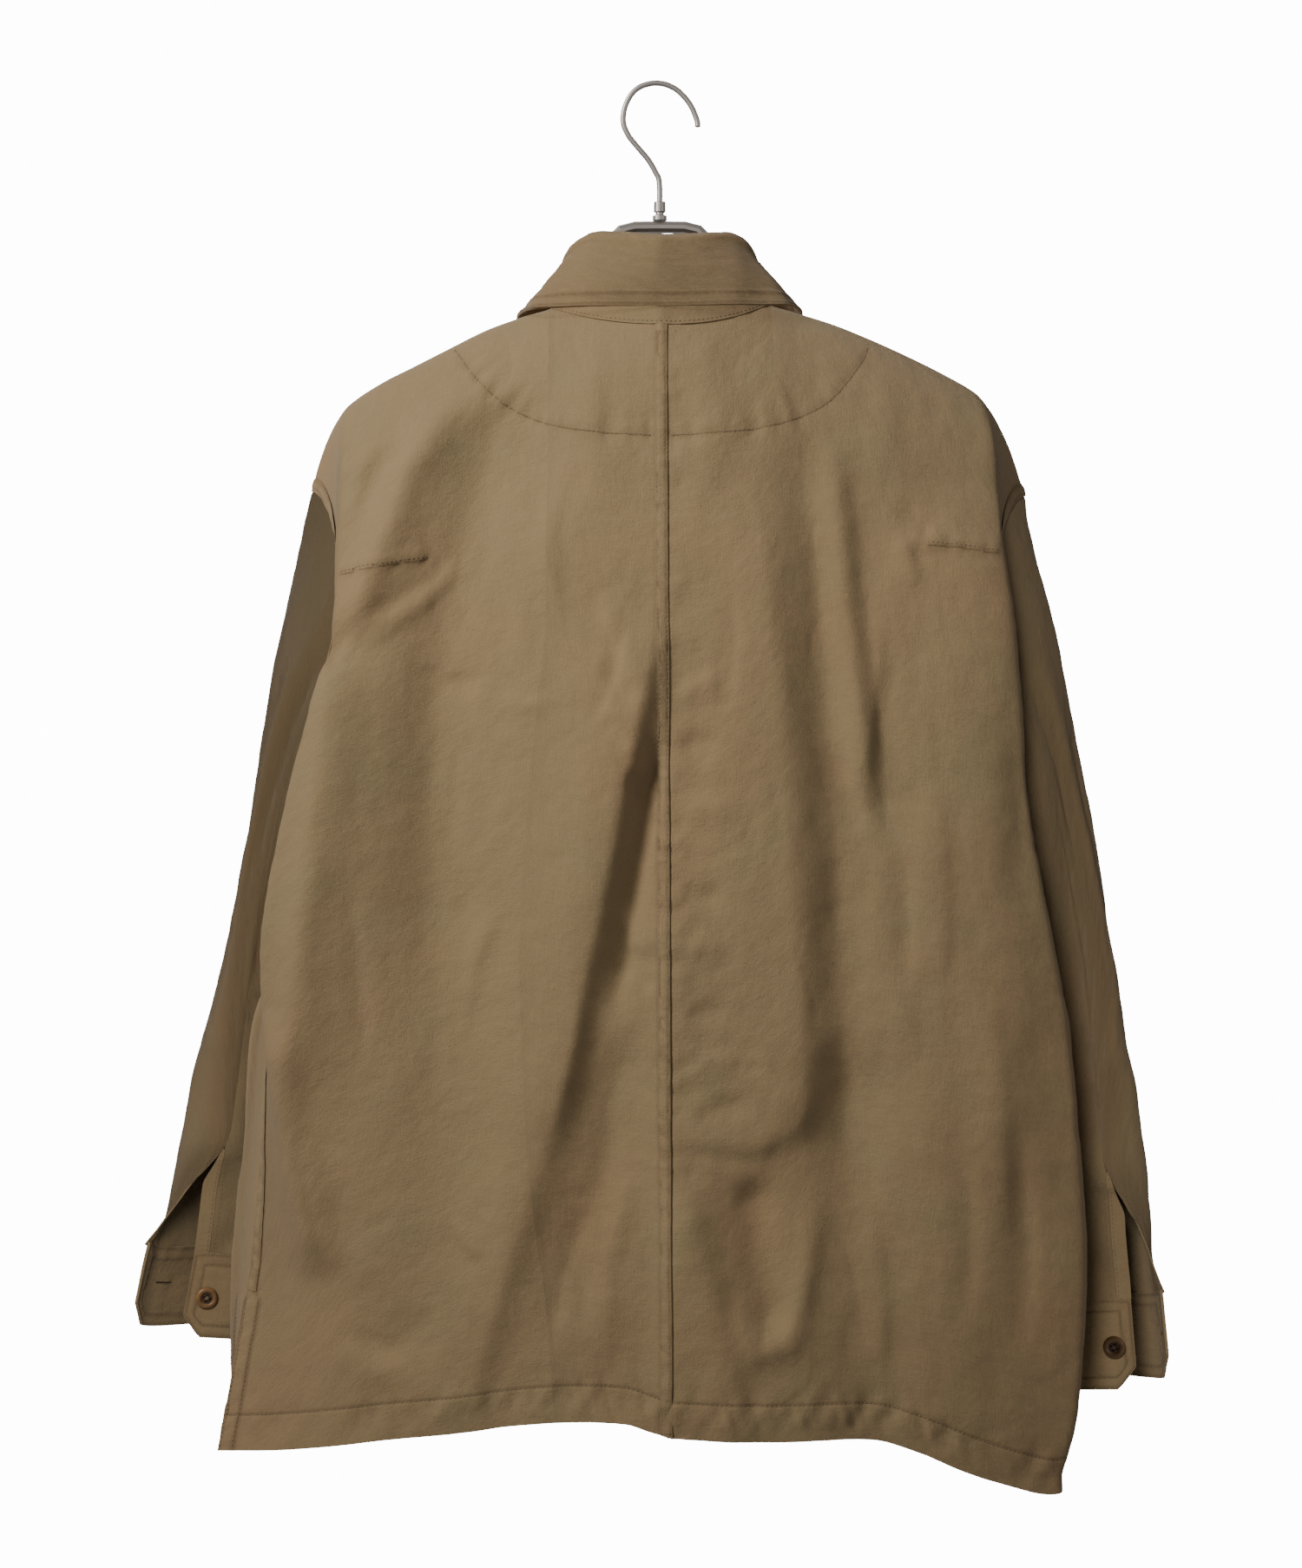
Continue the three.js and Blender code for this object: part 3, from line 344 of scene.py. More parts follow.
class Shell:
    def __init__(self, side, face):
        self.side, self.face, self.sign = side, face, sides[side]
        self.outward = 1 if face == "back" else -1
        self.folds = backFolds if face == "back" else frontFolds
        self.start = float(centreX(0)) * self.sign
        reach = garment["neckHalfWidth"] - self.start
        self.neckShare = garment["foldShare"] * reach / (tipX[side] - self.start)
        self.neckLow = garment["backNeckDrop"] if face == "back" else garment["frontNeckDrop"]
        hemName = "front" if face == "front" else "back" + side.capitalize()
        self.hem = follow(hemDrops[hemName], "across", "drop")

    def topX(self, share):
        fold = garment["foldShare"]
        past = np.clip((share - fold) / (1 - fold), 0, 1)
        tip = tipX[self.side]
        over = mix(tip, endX[self.side], np.sin(past * math.pi / 2))
        return np.where(share <= fold, mix(self.start, tip, share / fold), over)

    def topDrop(self, share):
        high = ridgeDrop[self.side](garment["neckHalfWidth"])
        neck = mix(self.neckLow, high, np.abs(share / self.neckShare) ** 2.2)
        return np.where(share < self.neckShare, neck, ridgeDrop[self.side](self.topX(share)))

    # Where the cloth lies, for a share of the way from the centre to the side seam and a drop
    def place(self, share, drop):
        share, drop = np.broadcast_arrays(np.asarray(share, float), np.asarray(drop, float))
        g = garment
        top = self.topX(share)
        below = np.maximum(drop - ridgeDrop[self.side](np.abs(top)), 0)
        now = sectionAt(self.side, self.face, drop)
        centre = centreX(drop) * self.sign
        blade, fold, tuck = g["bladeShare"], g["foldShare"], g["tuckShare"]
        bladeX = mix(centre, now["foldX"], blade / fold)
        past = throughKnots([blade, fold, tuck, 1],
                            [bladeX, now["foldX"], now["tuckX"], now["seamX"]], share)
        fullX = np.where(share <= fold, mix(centre, now["foldX"], share / fold), past)
        fullY = throughKnots(
            [-blade, 0, blade, fold, tuck, 1],
            [now["bladeY"], now["centreY"], now["bladeY"], now["foldY"], now["tuckY"], now["seamY"]],
            share)
        topY = ridgeY[self.side](np.abs(top))
        reach = settle(ridgeDepth(below) / np.maximum(np.abs(fullY - topY), g["ridgeRadius"]))
        x = self.sign * mix(top, fullX, reach)
        calm = ease((1 - share) / 0.25) * ease((below - 12) / 60)
        lap = 0
        if self.face == "front":
            calm = calm * ease((np.abs(share) - 0.1) / 0.15)
            lap = self.sign * g["overlapStep"] / 2 * ease((0.2 - share) / 0.12)
        folds = foldHeight(self.folds, x, drop) * garment["foldStrength"]
        y = mix(topY, fullY, reach) + self.outward * folds * calm - lap
        if self.face == "front":
            vent = ease((drop - g["ventDrop"]) / (self.hem(share) - g["ventDrop"]))
            y = y - g["ventSwing"] * vent * ease((share - 0.6) / 0.4)
        return np.stack([x, y, -drop], -1)


shells = {side: {face: Shell(side, face) for face in ("back", "front")} for side in sides}


# grids of points, and lines on them
class Grid:
    # points is rows by columns by 3, in millimetres; facing turns its normals outwards
    def __init__(self, points, facing):
        self.points, self.facing = points, facing
        down, across = np.gradient(points, axis=0), np.gradient(points, axis=1)
        self.normals = unit(np.cross(across, down)) * facing
        self.measure()

    def measure(self):
        gapsAcross = np.linalg.norm(np.diff(self.points, axis=1), axis=-1)
        gapsDown = np.linalg.norm(np.diff(self.points, axis=0), axis=-1)
        self.across = np.pad(np.cumsum(gapsAcross, axis=1), ((0, 0), (1, 0)))
        self.down = np.pad(np.cumsum(gapsDown, axis=0), ((1, 0), (0, 0)))
        self.fromFirst = {"row": self.down, "column": self.across}
        self.fromLast = {"row": self.down[-1:] - self.down, "column": self.across[:, -1:] - self.across}

    # The grid moved out along its normals, with its lengths as they were. Tone is painted shade that
    # darkens seams
    def moved(self, height, tone=None):
        grid = Grid(self.points + self.normals * height[..., None], self.facing)
        grid.tone = np.zeros(height.shape) if tone is None else np.broadcast_to(tone, height.shape)
        grid.across, grid.down = self.across, self.down
        grid.fromFirst, grid.fromLast = self.fromFirst, self.fromLast
        return grid

    # The line that runs a given distance in from an edge, with its normals
    def lineFrom(self, edge, distance, trim=(0, 0)):
        which, kind = edge.split()
        away = (self.fromFirst if which == "first" else self.fromLast)[kind]
        points, normals = self.points, self.normals
        if kind == "row":
            away, points, normals = away.T, points.transpose(1, 0, 2), normals.transpose(1, 0, 2)
        if which == "last":
            away, points, normals = away[:, ::-1], points[:, ::-1], normals[:, ::-1]
        places = [np.interp(distance, row, np.arange(len(row))) for row in away]
        low = np.minimum(np.floor(places).astype(int), points.shape[1] - 2)
        t = (np.array(places) - low)[:, None]
        lines = np.arange(len(low))
        path = mix(points[lines, low], points[lines, low + 1], t)
        return trimPath(path, unit(mix(normals[lines, low], normals[lines, low + 1], t)), trim)

    # Places on the grid by row and column, which need not be whole numbers
    def at(self, row, column):
        i = np.clip(np.floor(row).astype(int), 0, self.points.shape[0] - 2)
        j = np.clip(np.floor(column).astype(int), 0, self.points.shape[1] - 2)
        a, b = (row - i)[:, None], (column - j)[:, None]

        def blend(values):
            upper, lower = [mix(values[k, j], values[k, j + 1], b) for k in (i, i + 1)]
            return mix(upper, lower, a)

        return blend(self.points), unit(blend(self.normals))


def pathLength(path):
    return np.concatenate([[0], np.cumsum(np.linalg.norm(np.diff(path, axis=0), axis=-1))])


def trimPath(path, normals, trim):
    run = pathLength(path)
    keep = (run >= trim[0]) & (run <= run[-1] - trim[1])
    return path[keep], normals[keep]


# A smooth line through points, each a row, with some steps between them
def smoothLine(points, cells):
    points = np.asarray(points, float)
    padded = np.concatenate([2 * points[:1] - points[1:2], points, 2 * points[-1:] - points[-2:-1]])
    result = []
    for i in range(len(points) - 1):
        a, b, c, d = padded[i:i + 4]
        for t in np.linspace(0, 1, cells, endpoint=False):
            result.append(0.5 * (2 * b + (c - a) * t + (2 * a - 5 * b + 4 * c - d) * t**2
                                 + (3 * b - a - 3 * c + d) * t**3))
    result.append(points[-1])
    return np.array(result)


# Small creases, each row as for the folds: out, left half, right half, and an (x, drop) line
backCreases = [
    (-1.2, 3.5, 7, [(128, 300), (146, 322), (170, 338), (196, 349)]),
    (1.5, 4, 9, [(120, 305), (150, 336), (192, 366)]),
    (-1.6, 4, 10, [(196, 352), (206, 366), (209, 384)]),
    (-1.1, 4, 8, [(160, 370), (135, 385), (104, 381)]),
    (1.0, 4, 8, [(108, 392), (84, 400), (58, 396)]),
    (-1.3, 4, 9, [(20, 330), (27, 370), (36, 398), (50, 420)]),
    (1.3, 5, 9, [(8, 392), (18, 378), (30, 352), (34, 330)]),
    (-1.4, 4, 8, [(14, 402), (26, 392), (40, 372)]),
    (1.3, 4, 9, [(7, 450), (16, 436), (23, 416)]),
    (-1.4, 4, 9, [(6, 470), (13, 460), (24, 440)]),
    (1.2, 5, 10, [(5, 560), (14, 546), (26, 520)]),
    (-1.2, 4, 8, [(4, 583), (13, 570), (25, 548)]),
    (1.0, 5, 9, [(130, 720), (120, 738), (108, 750)]),
    (-1.1, 4, 8, [(136, 722), (124, 744), (112, 756)]),
    (-1.4, 6, 12, [(232, 640), (226, 700), (214, 752), (192, 790)]),
    (1.2, 5, 10, [(98, 520), (116, 560), (126, 610)]),
    (-1.0, 5, 9, [(198, 480), (190, 560), (186, 640)]),
    (1.0, 6, 10, [(212, 470), (222, 540), (226, 600)]),
    (-1.6, 6, 12, [(40, 700), (62, 760), (70, 810)]),
    (1.8, 8, 14, [(20, 690), (34, 750), (36, 820)]),
    (-1.3, 5, 9, [(196, 792), (176, 806), (158, 804)]),
    (1.4, 6, 10, [(206, 800), (184, 818), (156, 820)]),
    (1.1, 3, 6, [(-158, 290), (-168, 297), (-184, 293)]),
    (-1.3, 3, 6, [(-156, 301), (-166, 305), (-172, 313)]),
    (1.4, 5, 10, [(-146, 292), (-158, 305), (-160, 330)]),
    (-1.3, 4, 10, [(-150, 268), (-166, 284), (-176, 288)]),
    (1.6, 6, 14, [(-140, 330), (-136, 380), (-128, 430), (-124, 476)]),
    (-1.5, 5, 12, [(-112, 420), (-118, 450), (-128, 482)]),
    (1.3, 5, 9, [(-10, 400), (-22, 388), (-42, 384)]),
    (-1.3, 4, 9, [(-10, 430), (-24, 422), (-40, 430)]),
    (1.3, 5, 9, [(-12, 468), (-30, 462), (-52, 472)]),
    (-1.3, 4, 8, [(-12, 512), (-26, 520), (-44, 516)]),
    (1.3, 5, 9, [(-12, 560), (-28, 548), (-44, 556)]),
    (-1.4, 4, 9, [(-14, 600), (-30, 590), (-44, 594)]),
    (1.5, 5, 10, [(-14, 640), (-30, 624), (-50, 622)]),
    (-1.5, 5, 10, [(-16, 664), (-36, 652), (-62, 650)]),
    (1.6, 6, 12, [(-18, 690), (-40, 690), (-70, 700)]),
    (-1.4, 6, 12, [(-150, 470), (-156, 540), (-152, 600)]),
    (1.2, 6, 12, [(-170, 430), (-178, 520), (-176, 600)]),
    (-1.6, 8, 14, [(-222, 400), (-228, 480), (-230, 560)]),
    (1.5, 7, 13, [(-206, 560), (-214, 660), (-216, 760)]),
    (-1.8, 7, 14, [(-226, 640), (-232, 740), (-228, 830)]),
    (-1.2, 5, 10, [(-190, 660), (-196, 740), (-192, 800)]),
    (1.3, 6, 12, [(-130, 700), (-140, 780), (-136, 840)]),
    (-1.1, 5, 10, [(-42, 300), (-46, 360), (-40, 420)]),
    (1.0, 5, 9, [(60, 240), (70, 300), (64, 360)]),
    (-1.0, 4, 8, [(158, 232), (176, 250), (192, 280)]),
    (1.2, 5, 9, [(170, 220), (190, 250), (198, 290)]),
]
frontCreases = [
    (1.2, 5, 9, [(190, 300), (160, 340), (120, 370)]),
    (-1.3, 5, 10, [(196, 340), (170, 390), (130, 420)]),
    (1.4, 6, 12, [(150, 480), (140, 560), (146, 640)]),
    (-1.3, 6, 12, [(30, 300), (44, 380), (40, 460)]),
    (1.2, 5, 10, [(170, 640), (176, 720), (172, 800)]),
    (1.2, 5, 9, [(-190, 310), (-150, 350), (-116, 372)]),
    (-1.4, 5, 10, [(-196, 350), (-166, 400), (-126, 436)]),
    (-1.3, 6, 12, [(-150, 500), (-144, 590), (-150, 680)]),
    (1.3, 6, 12, [(-34, 320), (-40, 420), (-34, 500)]),
    (-1.2, 5, 10, [(-180, 660), (-186, 740), (-182, 810)]),
]

# The rows of stitching and the darts on the back, as (x, drop) points
yokeLine = [(132, 171), (116, 192.8), (95.2, 211), (67.4, 222.9), (28.5, 228.8), (-7, 229.9),
            (-49.9, 227.2), (-81.3, 220.4), (-108.9, 206), (-129.5, 180), (-133.5, 170)]
darts = {
    "left": [(203, 317.5), (181, 313.1), (160, 309.5), (145.8, 307.4)],
    "right": [(-214, 304), (-191.4, 300.7), (-178, 299.4), (-167.8, 298.5)],
}
sewing = {
    "stripWidth": 7.8, "stripRise": 1.1, "edgeRow": 1.2, "innerRow": 6.9, "hemBand": 24.5,
    "hemRow": 23, "ventBand": 12, "ventRow": 10.8, "groove": 0.5, "grooveHalf": 0.95,
    "dartLap": 1.3, "stitchLength": 2.3, "stitchPitch": 3.0, "threadRadius": 0.3,
    "puckerPitch": 7.5, "puckerFinePitch": 3.9, "puckerFarPitch": 19, "puckerPatch": 55,
    "puckerRise": 0.62, "placketWidth": 32, "placketRows": (5, 30.5), "threadSides": 5,
}


def groove(away):
    return -sewing["groove"] * bell(away, sewing["grooveHalf"])


def strip(away, width, rise):
    return rise * ease((width + 0.6 - away) / 1.2)


# Puckers along a seam: short waves beside it that die away with the distance from it
def puckers(along, away, seed, fade=6.0, rise=sewing["puckerRise"]):
    s, lean = sewing, along + 0.45 * away
    waves = ripple(lean, s["puckerPitch"], seed) + 0.6 * ripple(lean, s["puckerFinePitch"], seed + 1)
    far = 1.1 * ripple(along + 0.8 * away, s["puckerFarPitch"], seed + 2) * bell(away, 3.2 * fade)
    patch = 0.65 + 0.5 * ripple(along, s["puckerPatch"], seed + 3)
    return rise * patch * (waves * bell(away, fade) + far)


def clothNoise(x, drop, seed):
    broad = 1.3 * softNoise(x, drop, 52, 120, seed) + 0.8 * softNoise(x, drop, 24, 58, seed + 1)
    fine = 0.4 * softNoise(x, drop, 11, 26, seed + 2)
    fine = fine + 0.24 * softNoise(x + drop, drop - x, 9, 14, seed + 3)
    # Faint sharp creases where two soft noises cross zero
    sharp = np.abs(softNoise(x + 0.5 * drop, drop - 0.4 * x, 34, 60, seed + 4))
    strength = 0.5 + 0.5 * softNoise(x, drop, 60, 60, seed + 5)
    return broad + fine - 0.55 * bell(sharp, 0.06) * strength


def panelShares(shell, cells):
    # Finest by the centre and by the side seam, and finer over the folds than past them
    centre, folded, side = 0.05, 0.52, 0.94
    shares = np.concatenate([
        np.linspace(0, centre, 17), np.linspace(centre, folded, cells * 5 // 8)[1:-1],
        np.linspace(folded, side, cells * 3 // 8), np.linspace(side, 1, 16)[1:]])
    if shell.face == "front":
        reach = garment["foldShare"] * garment["frontOverlap"] / tipX[shell.side]
        shares = np.concatenate([np.linspace(-reach, 0, 10)[:-1], shares])
    elif shell.side == "right":
        shares = np.concatenate([[-0.011, -0.004], shares])
    return shares


# Rows from the top to the hem, closest together in the hem's band
def rowSpread(cells):
    fine, band = cells // 6, 0.955
    v = np.linspace(0, 1, cells - fine + 1)
    upper = band * mix(v**1.35, v, ease(v / 0.3))
    return np.concatenate([upper[:-1], np.linspace(band, 1, fine + 1)])


class Panel:
    def __init__(self, side, face, across, down):
        shell = self.shell = shells[side][face]
        self.shares, self.spread = panelShares(shell, across), rowSpread(down)
        self.top, self.hem = shell.topDrop(self.shares), shell.hem(self.shares)
        drops = self.top + (self.hem - self.top) * self.spread[:, None]
        flat = Grid(shell.place(self.shares, drops), shell.sign * shell.outward)
        self.grid = flat.moved(*self.fineForm(flat))

    # The fine form on the shell, and where the cloth is darker with painted shade: by the seams and rows of
    # stitches
    def fineForm(self, flat):
        shell, s = self.shell, sewing
        isBack, isLeft = shell.face == "back", shell.side == "left"
        x, drop = flat.points[..., 0], -flat.points[..., 2]
        zero = int(np.argmin(np.abs(self.shares)))
        fromCentre = np.abs(flat.across - flat.across[:, zero:zero + 1])
        fromSide, fromHem, fromTop = flat.fromLast["column"], flat.fromLast["row"], flat.down
        seed = (11 if isLeft else 41) + (0 if isBack else 100)
        vent = ease((drop - garment["ventDrop"] + 2) / 4)
        width, inner = mix(s["stripWidth"], s["ventBand"], vent), mix(s["innerRow"], s["ventRow"], vent)
        stitched = 1 if isBack else np.maximum(vent, drop < garment["underarmDrop"])
        calm = ease(fromTop / 40) * ease(fromSide / 30) * mix(0.4, 1, ease(fromCentre / 25))
        height = clothNoise(x, drop, seed) * calm
        creases = backCreases if isBack else frontCreases
        height = height + 1.5 * foldHeight(creases, x, drop, 0.35) * ease(fromSide / 10)
        tone = 0.55 * bell(fromHem - s["hemRow"]) + 0.35 * bell(fromHem - s["hemBand"])
        tone = tone + stitched * (0.5 * bell(fromSide - s["edgeRow"]) + 0.6 * bell(fromSide - inner)
                                  + 0.5 * bell(fromSide - inner - 1.2))
        if isBack:
            height += 1.5 * puckers(drop, np.maximum(fromCentre - 3.5, 0), 7, 7) * ease(fromTop / 10)
            if isLeft:
                height += strip(fromCentre, s["stripWidth"], s["stripRise"])
                for row, share in ((s["edgeRow"], 0.35), (s["innerRow"], 0.4)):
                    height += groove(fromCentre - row)
                    tone = tone + share * bell(fromCentre - row)
                tone = tone + 0.35 * bell(fromCentre - s["stripWidth"] - 0.4, 0.8)
            else:
                height -= 0.7 * ease((0.4 - self.shares * 300) / 0.8)
            height += self.yokeForm(x, drop) + self.dartForm(x, drop)
            tone = tone + 0.4 * bell(fromCentre, 0.7)
            for line, share, start in ((yokeLine, 0.3, 0.03), (darts[shell.side], 0.4, None)):
                signed, passed = nearLine(line, x, drop)
                started = ease(passed / start) if start else 1
                tone = tone + share * bell(signed, 2) * started * ease((1 - passed) / (start or 0.04))
        elif isLeft:
            height += strip(flat.across, s["placketWidth"], 0.5)
            for row in s["placketRows"]:
                height += groove(flat.across - row)
                tone = tone + 0.5 * bell(flat.across - row)
            height += puckers(drop, np.abs(flat.across - s["placketWidth"]), 77, 5)
        height += puckers(drop, fromSide, seed + 5, 8) * ease((fromSide - 0.2) / 1.5)
        height += stitched * (strip(fromSide, width, 1.2) + groove(fromSide - s["edgeRow"])
                              + groove(fromSide - inner))
        height += strip(fromHem, s["hemBand"], 0.45) + groove(fromHem - s["hemRow"])
        wave = ripple(x + 0.5 * fromHem, 9, seed + 9) + 0.6 * ripple(x - 0.3 * fromHem, 4.6, seed + 10)
        return height + 1.5 * wave * bell(fromHem - 17, 11), tone

    def yokeForm(self, x, drop):
        signed, passed = nearLine(yokeLine, x, drop)
        ends = ease(passed / 0.04) * ease((1 - passed) / 0.04)
        away = np.abs(signed)
        along = passed * 330
        fade = np.where(signed > 0, 13, 5)
        waves = ripple(along, 8, 211) + 0.5 * ripple(along, 4.6, 212)
        return ends * (waves * bell(away, fade) - 0.6 * bell(away, 1.4))

    def dartForm(self, x, drop):
        line = darts[self.shell.side]
        signed, passed = nearLine(line, x, drop)
        away = np.abs(signed)
        inside = ease(passed / 0.02) * ease((1 - passed) / 0.1)
        upper = signed > 0 if self.shell.side == "left" else signed < 0
        lap = sewing["dartLap"] * ease((7.5 - away) / 2.5) * upper
        waves = ripple(passed * 60, 6.2, 301) * bell(away, 7) * 0.25
        end = line[-1]
        fromTip = np.hypot(x - end[0], drop - end[1])
        angle = np.arctan2(drop - end[1], x - end[0])
        crimp = 0.5 * np.cos(3 * angle + 0.7) * bell(fromTip - 5, 7)
        crimp = crimp - 0.7 * bell(fromTip, 5)
        return inside * (lap + waves - 0.4 * bell(away, 1)) + crimp

    # The share at which the panel has an x, found by halving
    def shareAt(self, x, drop):
        low, high = [np.full(np.shape(x), end) for end in (self.shares[0], garment["foldShare"] + 0.02)]
        for _ in range(26):
            middle = (low + high) / 2
            short = self.shell.place(middle, drop)[..., 0] * self.shell.sign < x * self.shell.sign
            low, high = np.where(short, middle, low), np.where(short, high, middle)
        return (low + high) / 2

    # Places and normals on the panel for a line of (x, drop) points
    def onPanel(self, line):
        x, drop = np.asarray(line, float).T
        share = self.shareAt(x, drop)
        column, top, hem = [np.interp(share, self.shares, values)
                            for values in (np.arange(len(self.shares)), self.top, self.hem)]
        row = np.interp((drop - top) / (hem - top), self.spread, np.arange(len(self.spread)))
        return self.grid.at(row, column)


panelCells = {"back": (112, 240), "front": (72, 170)}
panels = {side: {face: Panel(side, face, *cells) for face, cells in panelCells.items()}
          for side in sides}
print("body panels shaped")


# sleeves, from the armhole down to the cuff
closedEdge = {
    "left": [
        [0, 200, 28, 400], [0.18, 236, 14, 455], [0.35, 255, 0, 520], [0.55, 267, -6, 592],
        [0.74, 275, -8, 655], [0.85, 281.5, -6, 684],
    ],
    "right": [
        [0, 208, 27, 400], [0.18, 246, 14, 458], [0.35, 265, 0, 524], [0.55, 278, -6, 600],
        [0.74, 285, -8, 670], [0.85, 289.5, -6, 701],
    ],
}
sleeveLines = {
    "left": {
        "outer": [
            [0, 224.5, -8, 261], [0.18, 243.5, -20, 347], [0.35, 256.5, -27, 432],
            [0.55, 276, -28, 533], [0.74, 298.8, -23, 636], [0.85, 311, -22, 686],
            [1, 326.5, -46, 754],
        ],
        "front": [
            [0, 205, -47, 400], [0.18, 223, -66, 460], [0.35, 236, -78, 525], [0.55, 248, -88, 595],
            [0.74, 256, -90, 672], [0.85, 263, -90, 708], [1, 277, -84, 757],
        ],
        "inner": [
            [0, 226, 11, 520], [0.07, 238.5, -5, 537], [0.18, 241, -32, 566], [0.35, 230, -62, 614],
            [0.55, 217, -82, 664], [0.74, 214, -88, 712], [0.85, 217, -86, 735], [1, 223, -72, 764],
        ],
        "holeEdge": closedEdge["left"] + [[0.92, 304.5, -15, 711], [1, 334, -28, 749]],
        "buttonEdge": closedEdge["left"] + [[0.92, 287, -9, 716], [1, 292, -12, 754]],
    },
    "right": {
        "outer": [
            [0, 236, -8, 264], [0.18, 253, -20, 347], [0.35, 267.5, -27, 432], [0.55, 288, -28, 533],
            [0.74, 305, -23, 640], [0.85, 316, -24, 703], [1, 321, -44, 784],
        ],
        "front": [
            [0, 216, -48, 400], [0.18, 232, -66, 462], [0.35, 246, -78, 528], [0.55, 258, -88, 605],
            [0.74, 264, -90, 690], [0.85, 268, -90, 732], [1, 274, -84, 788],
        ],
        "inner": [
            [0, 231, 11, 520], [0.07, 242, -5, 538], [0.18, 246, -32, 570], [0.35, 238, -62, 622],
            [0.55, 226, -82, 677], [0.74, 221, -88, 732], [0.85, 222, -86, 760], [1, 226, -74, 792],
        ],
        "holeEdge": closedEdge["right"] + [[0.92, 309.5, -14, 737], [1, 328, -28, 780]],
        "buttonEdge": closedEdge["right"] + [[0.92, 292, -9, 738], [1, 296, -12, 784]],
    },
}
sleeveLines = {side: {name: table("along x y drop", rows) for name, rows in lines.items()}
               for side, lines in sleeveLines.items()}
cuffEnds = {
    "left": {"holeEdge": (346, -34, 803), "outer": (336, -52, 807), "front": (286, -90, 811),
             "inner": (230, -76, 817), "buttonEdge": (302, -15, 809)},
    "right": {"holeEdge": (334, -32, 839), "outer": (328, -49, 841), "front": (280, -90, 844),
              "inner": (230, -78, 848), "buttonEdge": (301, -15, 843)},
}
sleeve = {
    "slitShare": 0.85, "armholeRows": 12, "around": 112, "capRows": 7, "armRows": 115, "slitRows": 28,
    "hold": 0.4, "partedAt": 25, "pull": 1.17, "tuckIn": 3, "slitRow": 3, "stripWidth": 9.5,
    "stripFill": 0.72, "stripRow": 1.6, "stripThickness": 1.4,
}
cuff = {"across": 130, "down": 44, "corner": 12, "cutShare": 0.26, "thickness": 2.0, "edgeRow": 1.6,
        "innerRow": 8.2, "extra": 6}
sleeveCreases = [
    (-1.6, 6, 10, [(14, 20), (22, 110), (26, 220)]),
    (1.5, 6, 11, [(40, 40), (46, 150), (52, 300)]),
    (-1.4, 6, 10, [(70, 120), (66, 240), (60, 380)]),
    (1.6, 7, 12, [(10, 300), (30, 360), (44, 430)]),
    (-1.8, 6, 10, [(290, 150), (300, 190), (325, 210)]),
    (1.8, 7, 11, [(280, 180), (300, 215), (330, 236)]),
    (-1.8, 6, 11, [(240, 200), (265, 230), (300, 250)]),
    (1.5, 7, 11, [(150, 120), (170, 240), (165, 340)]),
    (-1.7, 7, 12, [(190, 200), (205, 300), (200, 400)]),
    (1.6, 6, 11, [(110, 330), (120, 400), (112, 460)]),
    (-1.5, 6, 10, [(230, 330), (240, 410), (232, 470)]),
    (1.5, 6, 10, [(300, 320), (310, 400), (306, 460)]),
]


def armholeLoop(side, turns):
    rows = sleeve["armholeRows"]
    half = rows / 2
    k = np.asarray(turns) * 2 * rows
    row = np.where(k <= half, half - k, np.where(k <= half + rows, k - half, 2 * rows + half - k))
    onFront = (k > half) & (k <= half + rows)
    t = row / rows
    spread = mix(t * t, (1 - np.cos(math.pi * t)) / 2, ease(t))
    result = np.zeros((len(t), 3))
    for face, mask in (("front", onFront), ("back", ~onFront)):
        shell = shells[side][face]
        top = float(shell.topDrop(np.array(1.0)))
        result[mask] = shell.place(1.0, mix(top, garment["underarmDrop"], spread[mask]))
    return result


def between(a, b):
    return unit(b - a)


# A ring round a flattened tube through its five corners, from one slit edge to the other
def ringAt(corners, turns):
    order = ["holeEdge", "outer", "front", "inner", "buttonEdge"]
    points = [np.asarray(corners[name], float) for name in order]
    hole, outer, front, inner, last = points
    parted = min(np.linalg.norm(hole - last) / sleeve["partedAt"], 1)
    across = between(inner, outer)
    headings = [mix(across, between(hole, outer), parted), between(hole, front),
                between(outer, inner), between(front, last), across]
    result = np.zeros((len(turns), 3))
    quarter = np.minimum(np.floor(np.asarray(turns) * 4).astype(int), 3)
    for i in range(4):
        mask = quarter == i
        t = (np.asarray(turns)[mask] * 4 - i)[:, None]
        a, b = points[i], points[i + 1]
        pull = sleeve["pull"] * np.linalg.norm(b - a)
        result[mask] = hermite(a, b, headings[i], headings[i + 1], t, pull)
    return result


def cornersAt(side, along):
    corners = {}
    for name, rows in sleeveLines[side].items():
        x, y, drop = (float(follow(rows, "along", key)(along)) for key in ("x", "y", "drop"))
        corners[name] = np.array([sides[side] * x, y, -drop])
    if along <= sleeve["slitShare"]:
        corners["buttonEdge"] = corners["holeEdge"].copy()
    return corners


def sleevePoints(side, alongs, turns):
    loop = armholeLoop(side, turns)
    start = ringAt(cornersAt(side, 0), turns)
    return np.array([
        ringAt(cornersAt(side, along), turns) + (loop - start) * float(ease(1 - along / sleeve["hold"]))
        for along in alongs
    ])


